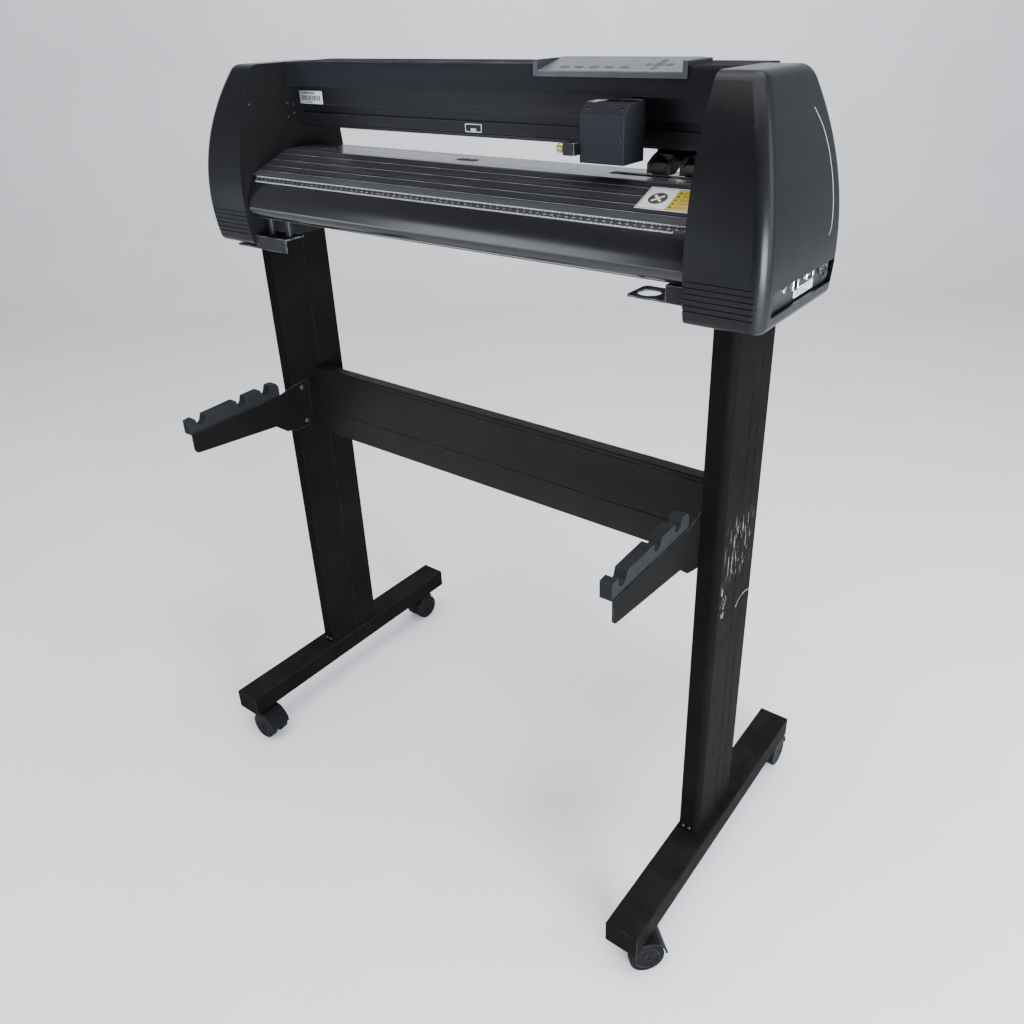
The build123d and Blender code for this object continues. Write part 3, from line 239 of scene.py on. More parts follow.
def platen_finish(name):
    """Dark anodising on the slopes, lighter and streaked along the flat top, and a paler band low on the slope that
    is a painted highlight.
    """
    material, tree, shader, coords = start_material(name)
    split = tree.nodes.new("ShaderNodeSeparateXYZ")
    tree.links.new(coords, split.inputs[0])
    on_top = remap(tree, split.outputs["Z"], *TOP_BAND)
    streaks = noise(tree, coords, 300, 5, 0.6, (0.012, 1.0, 1.0))
    broad = noise(tree, coords, 9, 5, 0.6, (0.3, 1, 1))
    slope_colour = mix_colour(tree, remap(tree, broad, 0.3, 0.7), (0.022, 0.022, 0.027), (0.036, 0.036, 0.043))
    slope_colour = mix_colour(tree, remap(tree, streaks, 0.56, 0.75, 0, 0.5), slope_colour, (0.06, 0.06, 0.065))
    top_colour = mix_colour(tree, remap(tree, streaks, 0.35, 0.65), (0.028, 0.028, 0.031), (0.082, 0.082, 0.087))
    # painted highlight: the slope's lowest strip is coloured paler to stand for a band of reflected light
    toe_highlight = remap(tree, split.outputs["Z"], *TOE_HIGHLIGHT_BAND, 0.0, 0.4)
    slope_colour = mix_colour(tree, toe_highlight, slope_colour, (0.085, 0.085, 0.105))
    colour = mix_colour(tree, on_top, slope_colour, top_colour)
    tree.links.new(colour, shader.inputs["Base Color"])
    rough = remap(tree, streaks, 0.3, 0.7, 0.15, 0.30)
    tree.links.new(rough, shader.inputs["Roughness"])
    shader.inputs["Metallic"].default_value = 0.18
    shader.inputs["Specular IOR Level"].default_value = 0.3
    bump = node(tree, "ShaderNodeBump", Strength=0.10, Distance=0.0003)
    tree.links.new(streaks, bump.inputs["Height"])
    tree.links.new(bump.outputs[0], shader.inputs["Normal"])
    return material


BRUSHED_X = (0.04, 1.0, 1.0)
FINISH = {
    "stand": solid("stand_paint", STAND_DARK, STAND_LIGHT, (0.36, 0.5),
                   grain=(650, 0.10), dust_and_shade=0.10, edge=0.3, scratches=0.05, specular=0.006,
                   edge_wear_and_highlight_colour=STAND_CHIP, dust_and_shade_colour=COOL_DUST),
    "column": scuffed_column("stand_paint_scuffed"),
    "arm": solid("arm_paint", (0.0040, 0.0037, 0.0034), (0.0068, 0.0064, 0.0060), (0.33, 0.46),
                 grain=(800, 0.08), dust_and_shade=0.05, edge=0.9, edge_wear_and_highlight_colour=(0.09, 0.09, 0.10), specular=0.01,
                 dust_and_shade_colour=COOL_DUST),
    "rest": solid("rest_rubber", (0.0076, 0.0080, 0.0089), (0.0136, 0.0143, 0.0157), (0.5, 0.68),
                  grain=(500, 0.18), dust_and_shade=0.10, edge=0.7, edge_wear_and_highlight_colour=(0.05, 0.052, 0.058), specular=0.06,
                  dust_and_shade_colour=COOL_DUST),
    "bar": solid("crossbar_paint", (0.0068, 0.0064, 0.0056), (0.0105, 0.0098, 0.0086), (0.40, 0.52),
                 grain=(650, 0.10), edge=0.35, scratches=0.06, specular=0.10, edge_wear_and_highlight_colour=STAND_CHIP),
    "plug": solid("plug_plastic", (0.0034, 0.0031, 0.0026), (0.0058, 0.0053, 0.0046), (0.5, 0.65),
                  grain=(900, 0.12), edge=0.3, specular=0.02),
    "hood": solid("hood_plastic", (0.0046, 0.0045, 0.0052), (0.0080, 0.0079, 0.0090), (0.30, 0.45),
                  grain=(700, 0.06), dust_and_shade=0.02, edge=0.4, scratches=0.1, specular=0.04,
                  dust_and_shade_colour=COOL_DUST),
    "wheel": solid("wheel_plastic", (0.0034, 0.0033, 0.0039), (0.0060, 0.0058, 0.0068), (0.34, 0.55),
                   grain=(600, 0.1), dust_and_shade=0.02, edge=0.4, scratches=0.12, specular=0.04,
                   dust_and_shade_colour=COOL_DUST),
    "cap": solid("cap_plastic", (0.0040, 0.0041, 0.0046), (0.0058, 0.0059, 0.0067), (0.27, 0.34),
                 grain=(1500, 0.07), blotch=5, dust_and_shade=0.03, edge=0.15, edge_wear_and_highlight_colour=(0.04, 0.04, 0.045),
                 scratches=0.03, specular=0.19, dust_and_shade_colour=(0.10, 0.10, 0.11)),
    "plate": solid("plate_paint", (0.0022, 0.0022, 0.0022), (0.0036, 0.0036, 0.0036), (0.5, 0.65),
                   grain=(900, 0.05), specular=0.15),
    # painted shade: the near-black film on upward faces darkens the cover's top against its lit front
    "cover": solid("cover_paint", (0.0115, 0.0117, 0.0145), (0.0170, 0.0172, 0.0212), (0.42, 0.55),
                   grain=(1300, 0.05), blotch=6, stretch=(0.25, 1, 1), dust_and_shade=0.85, edge=0.4,
                   edge_wear_and_highlight_colour=(0.07, 0.07, 0.08), specular=0.05, dust_and_shade_colour=(0.0035, 0.0035, 0.0043)),
    "beam": solid("beam_anodised", (0.0088, 0.0088, 0.0106), (0.0165, 0.0165, 0.0196), (0.32, 0.44), metal=0.05,
                  grain=(420, 0.06), blotch=14, stretch=BRUSHED_X, edge=0.5, edge_wear_and_highlight_colour=(0.10, 0.10, 0.11),
                  specular=0.12),
    "rail": solid("rail_anodised", (0.0070, 0.0067, 0.0086), (0.0140, 0.0134, 0.0172), (0.28, 0.4), metal=0.1,
                  grain=(420, 0.06), blotch=16, stretch=BRUSHED_X, specular=0.15),
    "platen": platen_finish("platen_anodised"),
    "apron": solid("apron_paint", (0.0055, 0.0055, 0.0068), (0.0085, 0.0085, 0.0105), (0.17, 0.24),
                   grain=(1100, 0.03), blotch=4, stretch=(0.3, 1, 1), dust_and_shade=0.02, edge=0.2, specular=0.5),
    "pan": solid("pan_paint", (0.008, 0.008, 0.008), (0.014, 0.014, 0.014), (0.45, 0.6), grain=(800, 0.1)),
    # edge wear and painted highlight: the bracket's pale edge colour is worn edges and also paints the light caught
    # along its edges
    "bracket": solid("bracket_plate", (0.006, 0.0062, 0.007), (0.011, 0.0113, 0.0125), (0.34, 0.5),
                     grain=(700, 0.08), edge=1.0, edge_wear_and_highlight_colour=(0.32, 0.32, 0.33), specular=0.18),
    "steel": solid("bright_steel", (0.42, 0.42, 0.43), (0.62, 0.62, 0.63), (0.18, 0.36), metal=1.0,
                   grain=(900, 0.08), blotch=60),
    "ground": solid("ground_shaft", (0.36, 0.36, 0.37), (0.52, 0.52, 0.53), (0.16, 0.3), metal=1.0,
                    grain=(700, 0.06), blotch=40, stretch=(0.05, 1, 1)),
    "grit": knurled("grit_sleeve", (0.30, 0.29, 0.28), 1500, (0.25, 1, 1)),
    "brass": knurled("knob_brass", (0.80, 0.62, 0.30), 900, (0.15, 1, 1)),
    "bush": solid("bush_bronze", (0.42, 0.30, 0.15), (0.56, 0.42, 0.22), (0.25, 0.4), metal=1.0, blotch=70),
    "motor": solid("motor_case", (0.020, 0.020, 0.021), (0.05, 0.05, 0.052), (0.3, 0.5), metal=0.7, blotch=30),
    "belt": knurled("belt_rubber", (0.014, 0.014, 0.014), 330, (1, 0.1, 0.1), metal=0.0),
    "pulley": knurled("pulley_alloy", (0.62, 0.62, 0.63), 900, (1, 1, 0.3)),
    # painted shade: the near-black film on upward faces darkens the carriage's top against its lit front
    "carriage": solid("carriage_plastic", (0.0155, 0.0155, 0.0190), (0.0225, 0.0225, 0.0275), (0.36, 0.48),
                      grain=(1400, 0.12), dust_and_shade=0.95, edge=0.6, edge_wear_and_highlight_colour=(0.08, 0.08, 0.09), specular=0.05,
                      dust_and_shade_colour=(0.0045, 0.0045, 0.0055)),
    "clamp": solid("clamp_alloy", (0.007, 0.007, 0.0075), (0.014, 0.014, 0.015), (0.28, 0.42), metal=0.2,
                   specular=0.15, edge=0.8, edge_wear_and_highlight_colour=(0.3, 0.3, 0.31)),
    "pinch": solid("pinch_plastic", (0.0045, 0.0045, 0.005), (0.008, 0.008, 0.009), (0.36, 0.5),
                   grain=(900, 0.1), edge=0.5, specular=0.3),
    "tyre": solid("roller_rubber", (0.012, 0.012, 0.012), (0.022, 0.022, 0.022), (0.6, 0.75), grain=(700, 0.15)),
    "frame": solid("frame_plastic", (0.013, 0.013, 0.0165), (0.021, 0.021, 0.026), (0.33, 0.44),
                   grain=(1400, 0.10), dust_and_shade=0.04, edge=0.6, edge_wear_and_highlight_colour=(0.08, 0.08, 0.09)),
    "film": solid("membrane_film", (0.078, 0.082, 0.086), (0.108, 0.113, 0.119), (0.28, 0.38), grain=(1600, 0.04),
                  blotch=18, dust_and_shade=0.05, coat=0.1),
    "key": solid("key_film", (0.045, 0.047, 0.052), (0.065, 0.068, 0.073), (0.28, 0.38), grain=(1600, 0.04),
                 coat=0.2),
    "board": solid("board_resist", (0.010, 0.05, 0.025), (0.02, 0.09, 0.045), (0.25, 0.4), blotch=60),
    "port": solid("port_plate", (0.009, 0.009, 0.010), (0.016, 0.016, 0.018), (0.35, 0.5), grain=(900, 0.1),
                  edge=0.6, edge_wear_and_highlight_colour=(0.2, 0.2, 0.21)),
    "gloss": solid("gloss_black", (0.008, 0.008, 0.009), (0.014, 0.014, 0.015), (0.12, 0.22), grain=(900, 0.03)),
    "white": solid("label_white", (0.50, 0.51, 0.53), (0.66, 0.67, 0.69), (0.35, 0.5), grain=(1500, 0.03),
                   blotch=60),
    "scale": solid("print_scale", (0.56, 0.56, 0.59), (0.72, 0.72, 0.75), (0.4, 0.55), grain=(1500, 0.03),
                   blotch=120),
    "bolt": solid("dark_bolt", (0.035, 0.035, 0.037), (0.075, 0.075, 0.078), (0.28, 0.42), metal=0.7,
                  grain=(900, 0.08), blotch=70),
    "ink": solid("print_ink", (0.012, 0.012, 0.012), (0.022, 0.022, 0.022), (0.4, 0.5), grain=(1500, 0.03)),
    "ochre": solid("label_ochre", (0.36, 0.25, 0.012), (0.50, 0.36, 0.02), (0.35, 0.5), grain=(1500, 0.03),
                   blotch=80),
    "strip": solid("ruler_film", (0.014, 0.014, 0.016), (0.022, 0.022, 0.025), (0.35, 0.45), grain=(1400, 0.05),
                   blotch=60, stretch=(0.3, 1, 1), specular=0.2),
    # painted highlight: pale strips for the platen's groove edges and the caps' moulded lines; also the column's
    # real scratch
    "highlight_and_scratch": solid("pale_highlight_and_scratch", (0.20, 0.205, 0.22), (0.32, 0.33, 0.35), (0.25, 0.4), blotch=50),
    "blue": solid("socket_insert", (0.05, 0.06, 0.09), (0.08, 0.09, 0.13), (0.35, 0.5), blotch=90),
    "ribbon": knurled("flex_ribbon", (0.34, 0.34, 0.35), 260, (0.03, 1, 1), metal=0.0),
}

NODE_FINISH = {
    "left_foot": "stand", "right_foot": "stand", "left_column": "stand", "right_column": "column",
    "crossbar": "bar", "foot_end_plugs": "plug", "roll_arms": "arm", "roll_rests": "rest",
    "stand_screws": "bolt", "stand_brackets": "bracket", "left_end_cap": "cap", "right_end_cap": "cap",
    "side_plates": "plate", "beam": "beam", "beam_cover": "cover", "guide_rail": "rail", "platen": "platen",
    "front_apron": "apron", "base_pan": "pan", "panel_frame": "frame", "panel_membrane": "film",
    "shaft_bearings": "bush", "drive_motors": "motor", "drive_belts": "belt", "main_board": "board",
    "port_panel": "port", "grit_shaft": "ground", "grit_sleeves": "grit", "feed_motor_pulley": "pulley",
    "drive_pulley": "pulley", "idler_pulley": "pulley", "carriage_plate": "clamp", "carriage_cover": "carriage",
    "tool_clamp": "clamp", "clamp_knob": "brass", "power_rocker": "gloss",
}
for side in ("left", "right"):
    NODE_FINISH[side + "_pinch_block"] = "pinch"
    NODE_FINISH[side + "_pinch_arm"] = "pinch"
    NODE_FINISH[side + "_pinch_roller"] = "tyre"
for name, cad in frame["nodes"].items():
    if "caster_hood" in name:
        NODE_FINISH[name] = "hood"
    elif "caster_wheels" in name:
        NODE_FINISH[name] = "wheel"
    elif name not in NODE_FINISH:
        NODE_FINISH[name] = "key"
    cad.data.materials.clear()
    cad.data.materials.append(FINISH[NODE_FINISH[name]])

# Small rounded edges on the machined and moulded CAD pieces, so that every edge catches the light.
ROUNDED = {
    "left_foot": 0.8, "right_foot": 0.8, "left_column": 0.8, "right_column": 0.8, "crossbar": 0.8,
    "roll_arms": 0.4, "roll_rests": 0.8, "stand_brackets": 0.4, "beam": 0.6, "beam_cover": 0.5,
    "carriage_cover": 0.6, "tool_clamp": 0.5, "panel_frame": 0.6, "front_apron": 0.5, "port_panel": 0.3,
    "left_pinch_block": 0.5, "right_pinch_block": 0.5, "left_pinch_arm": 0.5, "right_pinch_arm": 0.5,
    "platen": 0.5, "left_end_cap": 0.7, "right_end_cap": 0.7, "foot_end_plugs": 0.5,
}
for name, cad in frame["nodes"].items():
    for polygon in cad.data.polygons:
        polygon.use_smooth = True
    if name in ROUNDED:
        bevel = cad.modifiers.new("soft_edges", "BEVEL")
        bevel.width = ROUNDED[name] * MM
        bevel.segments = 2
        bevel.limit_method = "ANGLE"
        bevel.angle_limit = math.radians(38)
        bevel.harden_normals = True
    smooth = cad.modifiers.new("weighted", "WEIGHTED_NORMAL")
    smooth.keep_sharp = True


# ---------------------------------------------------------------- mesh helpers

def piece(name, mesh, finish, body=ROOT, smooth=True):
    """Link a mesh as a piece that rides on a body."""
    made = bpy.data.objects.new(name, mesh)
    bpy.context.scene.collection.objects.link(made)
    mesh.materials.append(FINISH[finish])
    for polygon in mesh.polygons:
        polygon.use_smooth = smooth
    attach(made, body)
    return made


def mesh_from(bm, name):
    """Turn a bmesh in millimetres into a mesh in metres."""
    bmesh.ops.scale(bm, vec=(MM, MM, MM), verts=bm.verts)
    bmesh.ops.recalc_face_normals(bm, faces=bm.faces)
    mesh = bpy.data.meshes.new(name)
    bm.to_mesh(mesh)
    bm.free()
    return mesh


def slab(bm, matrix, length, width, thick, inset=0.0):
    """A thin plate with chamfered upper edges, its underside on the matrix's XY plane."""
    half_x, half_y = length / 2, width / 2
    inset = inset or min(thick * 0.45, half_x * 0.3, half_y * 0.3)
    rings = ((0, 0), (0, thick - inset), (inset, thick))
    loops = []
    for shrink, z in rings:
        x, y = half_x - shrink, half_y - shrink
        loops.append([bm.verts.new(matrix @ Vector(p)) for p in ((-x, -y, z), (x, -y, z), (x, y, z), (-x, y, z))])
    bm.faces.new(list(reversed(loops[0])))
    for low, high in zip(loops, loops[1:]):
        for i in range(4):
            j = (i + 1) % 4
            bm.faces.new((low[i], low[j], high[j], high[i]))
    bm.faces.new(loops[-1])


def prism(bm, matrix, outline, thick):
    """A flat shape of any outline with a thickness, standing on the matrix's XY plane."""
    low = [bm.verts.new(matrix @ Vector((x, y, 0))) for x, y in outline]
    high = [bm.verts.new(matrix @ Vector((x, y, thick))) for x, y in outline]
    bm.faces.new(list(reversed(low)))
    bm.faces.new(high)
    for i in range(len(outline)):
        j = (i + 1) % len(outline)
        bm.faces.new((low[i], low[j], high[j], high[i]))


def lathe(bm, matrix, profile, steps=28):
    """Turn a profile of (radius, height) about the matrix's Z axis, closed at both ends."""
    rings = []
    for radius, height in profile:
        ring = []
        for i in range(steps):
            angle = math.tau * i / steps
            ring.append(bm.verts.new(matrix @ Vector((radius * math.cos(angle), radius * math.sin(angle), height))))
        rings.append(ring)
    for low, high in zip(rings, rings[1:]):
        for i in range(steps):
            j = (i + 1) % steps
            bm.faces.new((low[i], low[j], high[j], high[i]))
    bm.faces.new(list(reversed(rings[0])))
    bm.faces.new(rings[-1])


def basis(origin, x_axis, z_axis):
    """A frame from its origin, its X direction and its normal, all in millimetres."""
    z = Vector(z_axis).normalized()
    x = Vector(x_axis)
    x = (x - z * x.dot(z)).normalized()
    y = z.cross(x)
    made = Matrix((x, y, z)).transposed().to_4x4()
    made.translation = Vector(origin)
    return made


def sweep(bm, points, radius, steps=8, flat=1.0):
    """A round or oval bead along a line of points."""
    points = [Vector(p) for p in points]
    rings = []
    for i, point in enumerate(points):
        ahead = points[min(i + 1, len(points) - 1)] - points[max(i - 1, 0)]
        ahead.normalize()
        side = ahead.cross(Vector((1, 0, 0)) if abs(ahead.x) < 0.9 else Vector((0, 0, 1))).normalized()
        up = side.cross(ahead)
        taper = 0.35 if i in (0, len(points) - 1) else 1.0
        ring = []
        for k in range(steps):
            angle = math.tau * k / steps
            offset = side * math.cos(angle) * radius + up * math.sin(angle) * radius * flat
            ring.append(bm.verts.new(point + offset * taper))
        rings.append(ring)
    for low, high in zip(rings, rings[1:]):
        for k in range(steps):
            j = (k + 1) % steps
            bm.faces.new((low[k], low[j], high[j], high[k]))
    bm.faces.new(list(reversed(rings[0])))
    bm.faces.new(rings[-1])


def millimetres(node_name):
    """A CAD node's lowest and highest corner in millimetres."""
    low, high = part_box(node_name)
    return low / MM, high / MM


# ---------------------------------------------------------------- platen: ruler and label

MEDIA_HALF = 360.0
NOSE = Vector((0, -79.6, 980.0))
PLATEN_FRONT = -10.6
PLATEN_TOP = millimetres("platen")[1].z


def circle_through(a, b, c):
    """Centre and radius of the circle through three (y, z) points."""
    ax, ay, bx, by, cx, cy = *a, *b, *c
    d = 2 * (ax * (by - cy) + bx * (cy - ay) + cx * (ay - by))
    ux = ((ax**2 + ay**2) * (by - cy) + (bx**2 + by**2) * (cy - ay) + (cx**2 + cy**2) * (ay - by)) / d
    uy = ((ax**2 + ay**2) * (cx - bx) + (bx**2 + by**2) * (ax - cx) + (cx**2 + cy**2) * (bx - ax)) / d
    return (ux, uy), math.hypot(ax - ux, ay - uy)


APRON_TOP = (-79.2, 976.8)
APRON_BROW = (-91.5, 958.0)
APRON_CHIN = (-98.0, 937.0)
(APRON_CY, APRON_CZ), APRON_R = circle_through(APRON_TOP, APRON_BROW, APRON_CHIN)
APRON_START = math.atan2(APRON_TOP[1] - APRON_CZ, APRON_TOP[0] - APRON_CY)


def on_apron(x, down, out):
    """A point on the platen's nose or the apron's arc below it: so far down, so far out of the surface."""
    if down <= 0:
        return Vector((x, NOSE.y - 0.05 - out, APRON_TOP[1] - down))
    angle = APRON_START + down / APRON_R
    radius = APRON_R + out + 0.45 * max(0.0, 1 - down / 2.5)
    return Vector((x, APRON_CY + radius * math.cos(angle), APRON_CZ + radius * math.sin(angle)))


RULER_TOP = -2.7
RULER_BOTTOM = 8.2
RULER_LENGTH = 700
RULER_START = -350.0
FILM_HALF = MEDIA_HALF - 1
PRINT_OUT = 0.24
INCH = 25.4
NUMBER_DOWN = 3.2
NUMBER_SIZE = 4.2


def ruler_strip():
    """The printed film that carries the scale, a thin curved sheet with rolled edges."""
    bm = bmesh.new()
    rows = 7
    columns = 48
    grid = []
    for i in range(rows + 1):
        down = RULER_TOP + (RULER_BOTTOM - RULER_TOP) * i / rows
        out = 0.06 if i in (0, rows) else 0.22
        grid.append([bm.verts.new(on_apron(-FILM_HALF + 2 * FILM_HALF * k / columns, down, out))
                     for k in range(columns + 1)])
    for upper, lower in zip(grid, grid[1:]):
        for k in range(columns):
            bm.faces.new((upper[k], upper[k + 1], lower[k + 1], lower[k]))
    made = piece("ruler_strip", mesh_from(bm, "ruler_strip"), "strip")
    skin = made.modifiers.new("thick", "SOLIDIFY")
    skin.thickness = 0.15 * MM
    skin.offset = -1


def apron_patch(bm, x, down, width, height):
    """A thin raised mark on the ruler film."""
    middle = down + height / 2
    outward = on_apron(x, middle, 1.0) - on_apron(x, middle, 0.0)
    centre = (on_apron(x, down, PRINT_OUT) + on_apron(x, down + height, PRINT_OUT)) / 2
    slab(bm, basis(centre, (1, 0, 0), outward), width, height, 0.07)


def ruler_marks():
    """Dense millimetre ticks along the upper edge and inch ticks along the lower edge."""
    bm = bmesh.new()
    for i in range(RULER_LENGTH + 1):
        height = 2.2 if i % 10 == 0 else (1.7 if i % 5 == 0 else 1.1)
        apron_patch(bm, RULER_START + i, RULER_TOP + 0.35, 0.42 if i % 10 else 0.6, height)
    for i in range(int(RULER_LENGTH / INCH) * 16 + 1):
        height = 2.4 if i % 16 == 0 else (1.9 if i % 4 == 0 else 1.4)
        apron_patch(bm, RULER_START + i * INCH / 16, RULER_BOTTOM - 1.0 - height, 0.7, height)
    piece("ruler_ticks", mesh_from(bm, "ruler_ticks"), "scale", smooth=False)


def numeral_mesh(text, size):
    """The outline of a number as a flat mesh in millimetres."""
    curve = bpy.data.curves.new("numeral", "FONT")
    curve.body = text
    curve.size = size
    curve.align_x = "CENTER"
    curve.extrude = 0.04
    curve.resolution_u = 2
    holder = bpy.data.objects.new("numeral", curve)
    bpy.context.scene.collection.objects.link(holder)
    bpy.context.view_layer.update()
    mesh = bpy.data.meshes.new_from_object(holder.evaluated_get(bpy.context.evaluated_depsgraph_get()))
    bpy.data.objects.remove(holder)
    bpy.data.curves.remove(curve)
    return mesh


def ruler_numbers():
    """Centimetre numbers between the two rows of ticks."""
    bm = bmesh.new()
    for value in range(RULER_LENGTH // 10 + 1):
        x = RULER_START + 10 * value
        flat = numeral_mesh(str(value), NUMBER_SIZE)
        part = bmesh.new()
        part.from_mesh(flat)
        here = on_apron(x + 0.2, NUMBER_DOWN, PRINT_OUT)
        outward = on_apron(x, NUMBER_DOWN, PRINT_OUT + 1.0) - on_apron(x, NUMBER_DOWN, PRINT_OUT)
        part.transform(basis(here, (1, 0, 0), outward))
        holder = bpy.data.meshes.new("part")
        part.to_mesh(holder)
        part.free()
        bm.from_mesh(holder)
        bpy.data.meshes.remove(holder)
        bpy.data.meshes.remove(flat)
    piece("ruler_numbers", mesh_from(bm, "ruler_numbers"), "scale", smooth=False)


ruler_strip()
ruler_marks()
ruler_numbers()


SLOPE_GROOVES = (13.85, 30.35, 47.35, 61.35)
SLOPE_DOWN = Vector((0, NOSE.y - PLATEN_FRONT, NOSE.z - PLATEN_TOP)).normalized()
SLOPE_NORMAL = Vector((0, SLOPE_DOWN.z, -SLOPE_DOWN.y)).normalized()


def on_slope(x, down, out):
    """A frame on the platen's front slope, X along the machine, Y up the slope."""
    point = Vector((x, PLATEN_FRONT, PLATEN_TOP)) + SLOPE_DOWN * down + SLOPE_NORMAL * out
    return basis(point, (1, 0, 0), SLOPE_NORMAL)


def slope_beads():
    """Pale strips along the edges of the platen's shallow grooves: painted highlights."""
    bm = bmesh.new()
    for down in SLOPE_GROOVES:
        for k in range(9):
            slab(bm, on_slope(-320 + 80 * k, down, 0.0), 79.9, 0.45, 0.06)
    piece("slope_beads", mesh_from(bm, "slope_beads"), "highlight_and_scratch")


def safety_label():
    """A plain two-part notice: a pale half with a neutral sign and an ochre half with bars for text."""
    left, right, split, middle_down, width = 275.0, 345.0, 311.0, 31.8, 42.5
    length = right - left
    middle_x = (left + right) / 2
    on_base, on_field = 0.21, 0.27
    bm = bmesh.new()
    slab(bm, on_slope(middle_x, middle_down, 0.05), length, width, 0.16)
    piece("notice_base", mesh_from(bm, "notice_base"), "white")
    field_x = (split + right - 2.4) / 2
    bm = bmesh.new()
    slab(bm, on_slope(field_x, middle_down, on_base), right - 2.4 - split, width - 5.0, 0.06)
    piece("notice_field", mesh_from(bm, "notice_field"), "ochre")
    bm = bmesh.new()
    for down in (middle_down - width / 2 + 1.9, middle_down + width / 2 - 1.9):
        slab(bm, on_slope(middle_x, down, on_base), length - 2.6, 0.7, 0.07)
    for x in (left + 1.6, right - 1.6):
        slab(bm, on_slope(x, middle_down, on_base), 0.7, width - 4.4, 0.07)
    sign = on_slope(left + 18.5, middle_down, on_base)
    ring = [(11.0 * math.cos(math.tau * k / 40), 11.0 * math.sin(math.tau * k / 40)) for k in range(40)]
    prism(bm, sign, ring, 0.07)
    for row in range(5):
        down = middle_down - 13.6 + row * 6.8
        mark = on_slope(split + 4.4, down, on_field)
        prism(bm, mark, [(-2.4, -1.9), (2.4, -1.9), (0, 2.3)], 0.06)
        for k, short in enumerate((3.0, 0.0, 7.0)):
            bar = on_slope(split + 19.2 - short / 2, down - 1.6 + k * 1.7, on_field)
            slab(bm, bar, 20.0 - short, 0.55, 0.06)
    piece("notice_print", mesh_from(bm, "notice_print"), "ink", smooth=False)
    bm = bmesh.new()
    for turn in (0.0, math.pi / 2):
        raised = sign @ Matrix.Translation((0, 0, 0.07))
        slab(bm, raised @ Matrix.Rotation(turn + math.pi / 4, 4, "Z"), 16.0, 3.0, 0.06)
    piece("notice_sign", mesh_from(bm, "notice_sign"), "white", smooth=False)


slope_beads()
safety_label()


# ---------------------------------------------------------------- beam: sticker, mark, screws

UPPER_FACE = 24.0
LOWER_FACE = 28.0
STICKER_THICK = 0.14
TO_FRONT = (0, -1, 0)


def facing_front(x, y, z):
    """A frame on a face that looks forward, X to the right and Y up."""
    return basis((x, y, z), (1, 0, 0), TO_FRONT)


def code_sticker():
    """A white stock sticker with plain bars instead of a code."""
    centre_x, centre_z, half_code = -331.0, 1077.3, 20.0
    bm = bmesh.new()
    slab(bm, facing_front(centre_x, UPPER_FACE, centre_z), 50.0, 17.8, STICKER_THICK)
    piece("stock_sticker", mesh_from(bm, "stock_sticker"), "white")
    bm = bmesh.new()
    face = UPPER_FACE - STICKER_THICK
    x = centre_x - half_code
    step = 0
    while x < centre_x + half_code:
        wide = (0.7, 1.4, 0.7, 2.1, 1.0)[step % 5]
        slab(bm, facing_front(x + wide / 2, face, centre_z - 1.0), wide, 7.0, 0.05)
        x += wide + (0.9, 0.7, 1.3)[step % 3]
        step += 1
    for up, length in ((6.0, 26.0), (-6.6, 14.0)):
        slab(bm, facing_front(centre_x - 4.0, face, centre_z + up), length, 1.4, 0.05)
    piece("sticker_bars", mesh_from(bm, "sticker_bars"), "ink", smooth=False)


def home_mark():
    """The pale bracket-shaped mark on the beam's lower face."""
    centre_x, top, bottom, line, thick = -22.5, 1052.0, 1042.6, 1.1, 0.12
    bm = bmesh.new()
    for z in (top, bottom):
        slab(bm, facing_front(centre_x, LOWER_FACE, z), 28.0, line, thick)
    for x in (centre_x - 13.5, centre_x + 13.5):
        slab(bm, facing_front(x, LOWER_FACE, (top + bottom) / 2), line, top - bottom - 1.2, thick)
    slab(bm, facing_front(centre_x, LOWER_FACE, bottom + 2.6), 9.0, 3.4, thick)
    piece("home_mark", mesh_from(bm, "home_mark"), "white", smooth=False)


def screw(bm, matrix, radius):
    """A small pan-head screw with a cross on its head."""
    lathe(bm, matrix, ((radius * 0.98, 0), (radius, radius * 0.22), (radius * 0.86, radius * 0.46),
                       (radius * 0.55, radius * 0.60), (radius * 0.2, radius * 0.62)))
    for turn in (0.0, math.pi / 2):
        slab(bm, matrix @ Matrix.Translation((0, 0, radius * 0.56)) @ Matrix.Rotation(turn + 0.4, 4, "Z"),
             radius, radius * 0.22, radius * 0.09)


def plate_screws():
    """The screws that hold the beam's ends, seen on the side plates' inner faces."""
    bm = bmesh.new()
    for y, z in ((-66.5, 1074.5), (1.7, 1071.0), (13.4, 1068.0), (13.0, 1056.0), (1.0, 1052.0)):
        for inward in (1, -1):
            screw(bm, basis((-inward * MEDIA_HALF, y, z), (0, 1, 0), (inward, 0, 0)), 1.4)
    piece("side_plate_screws", mesh_from(bm, "side_plate_screws"), "bolt")


code_sticker()
home_mark()
plate_screws()


# ---------------------------------------------------------------- control panel prints

PANEL_TILT = math.radians(13.2)
PANEL_NORMAL = Vector((0, -math.sin(PANEL_TILT), math.cos(PANEL_TILT)))
KEY_HALF_THICK = 0.8
PRINT_THICK = 0.05


def key_top(name):
    """A frame at the middle of a key's upper face."""
    low, high = millimetres(name)
    return basis((low + high) / 2 + PANEL_NORMAL * KEY_HALF_THICK, (1, 0, 0), PANEL_NORMAL)


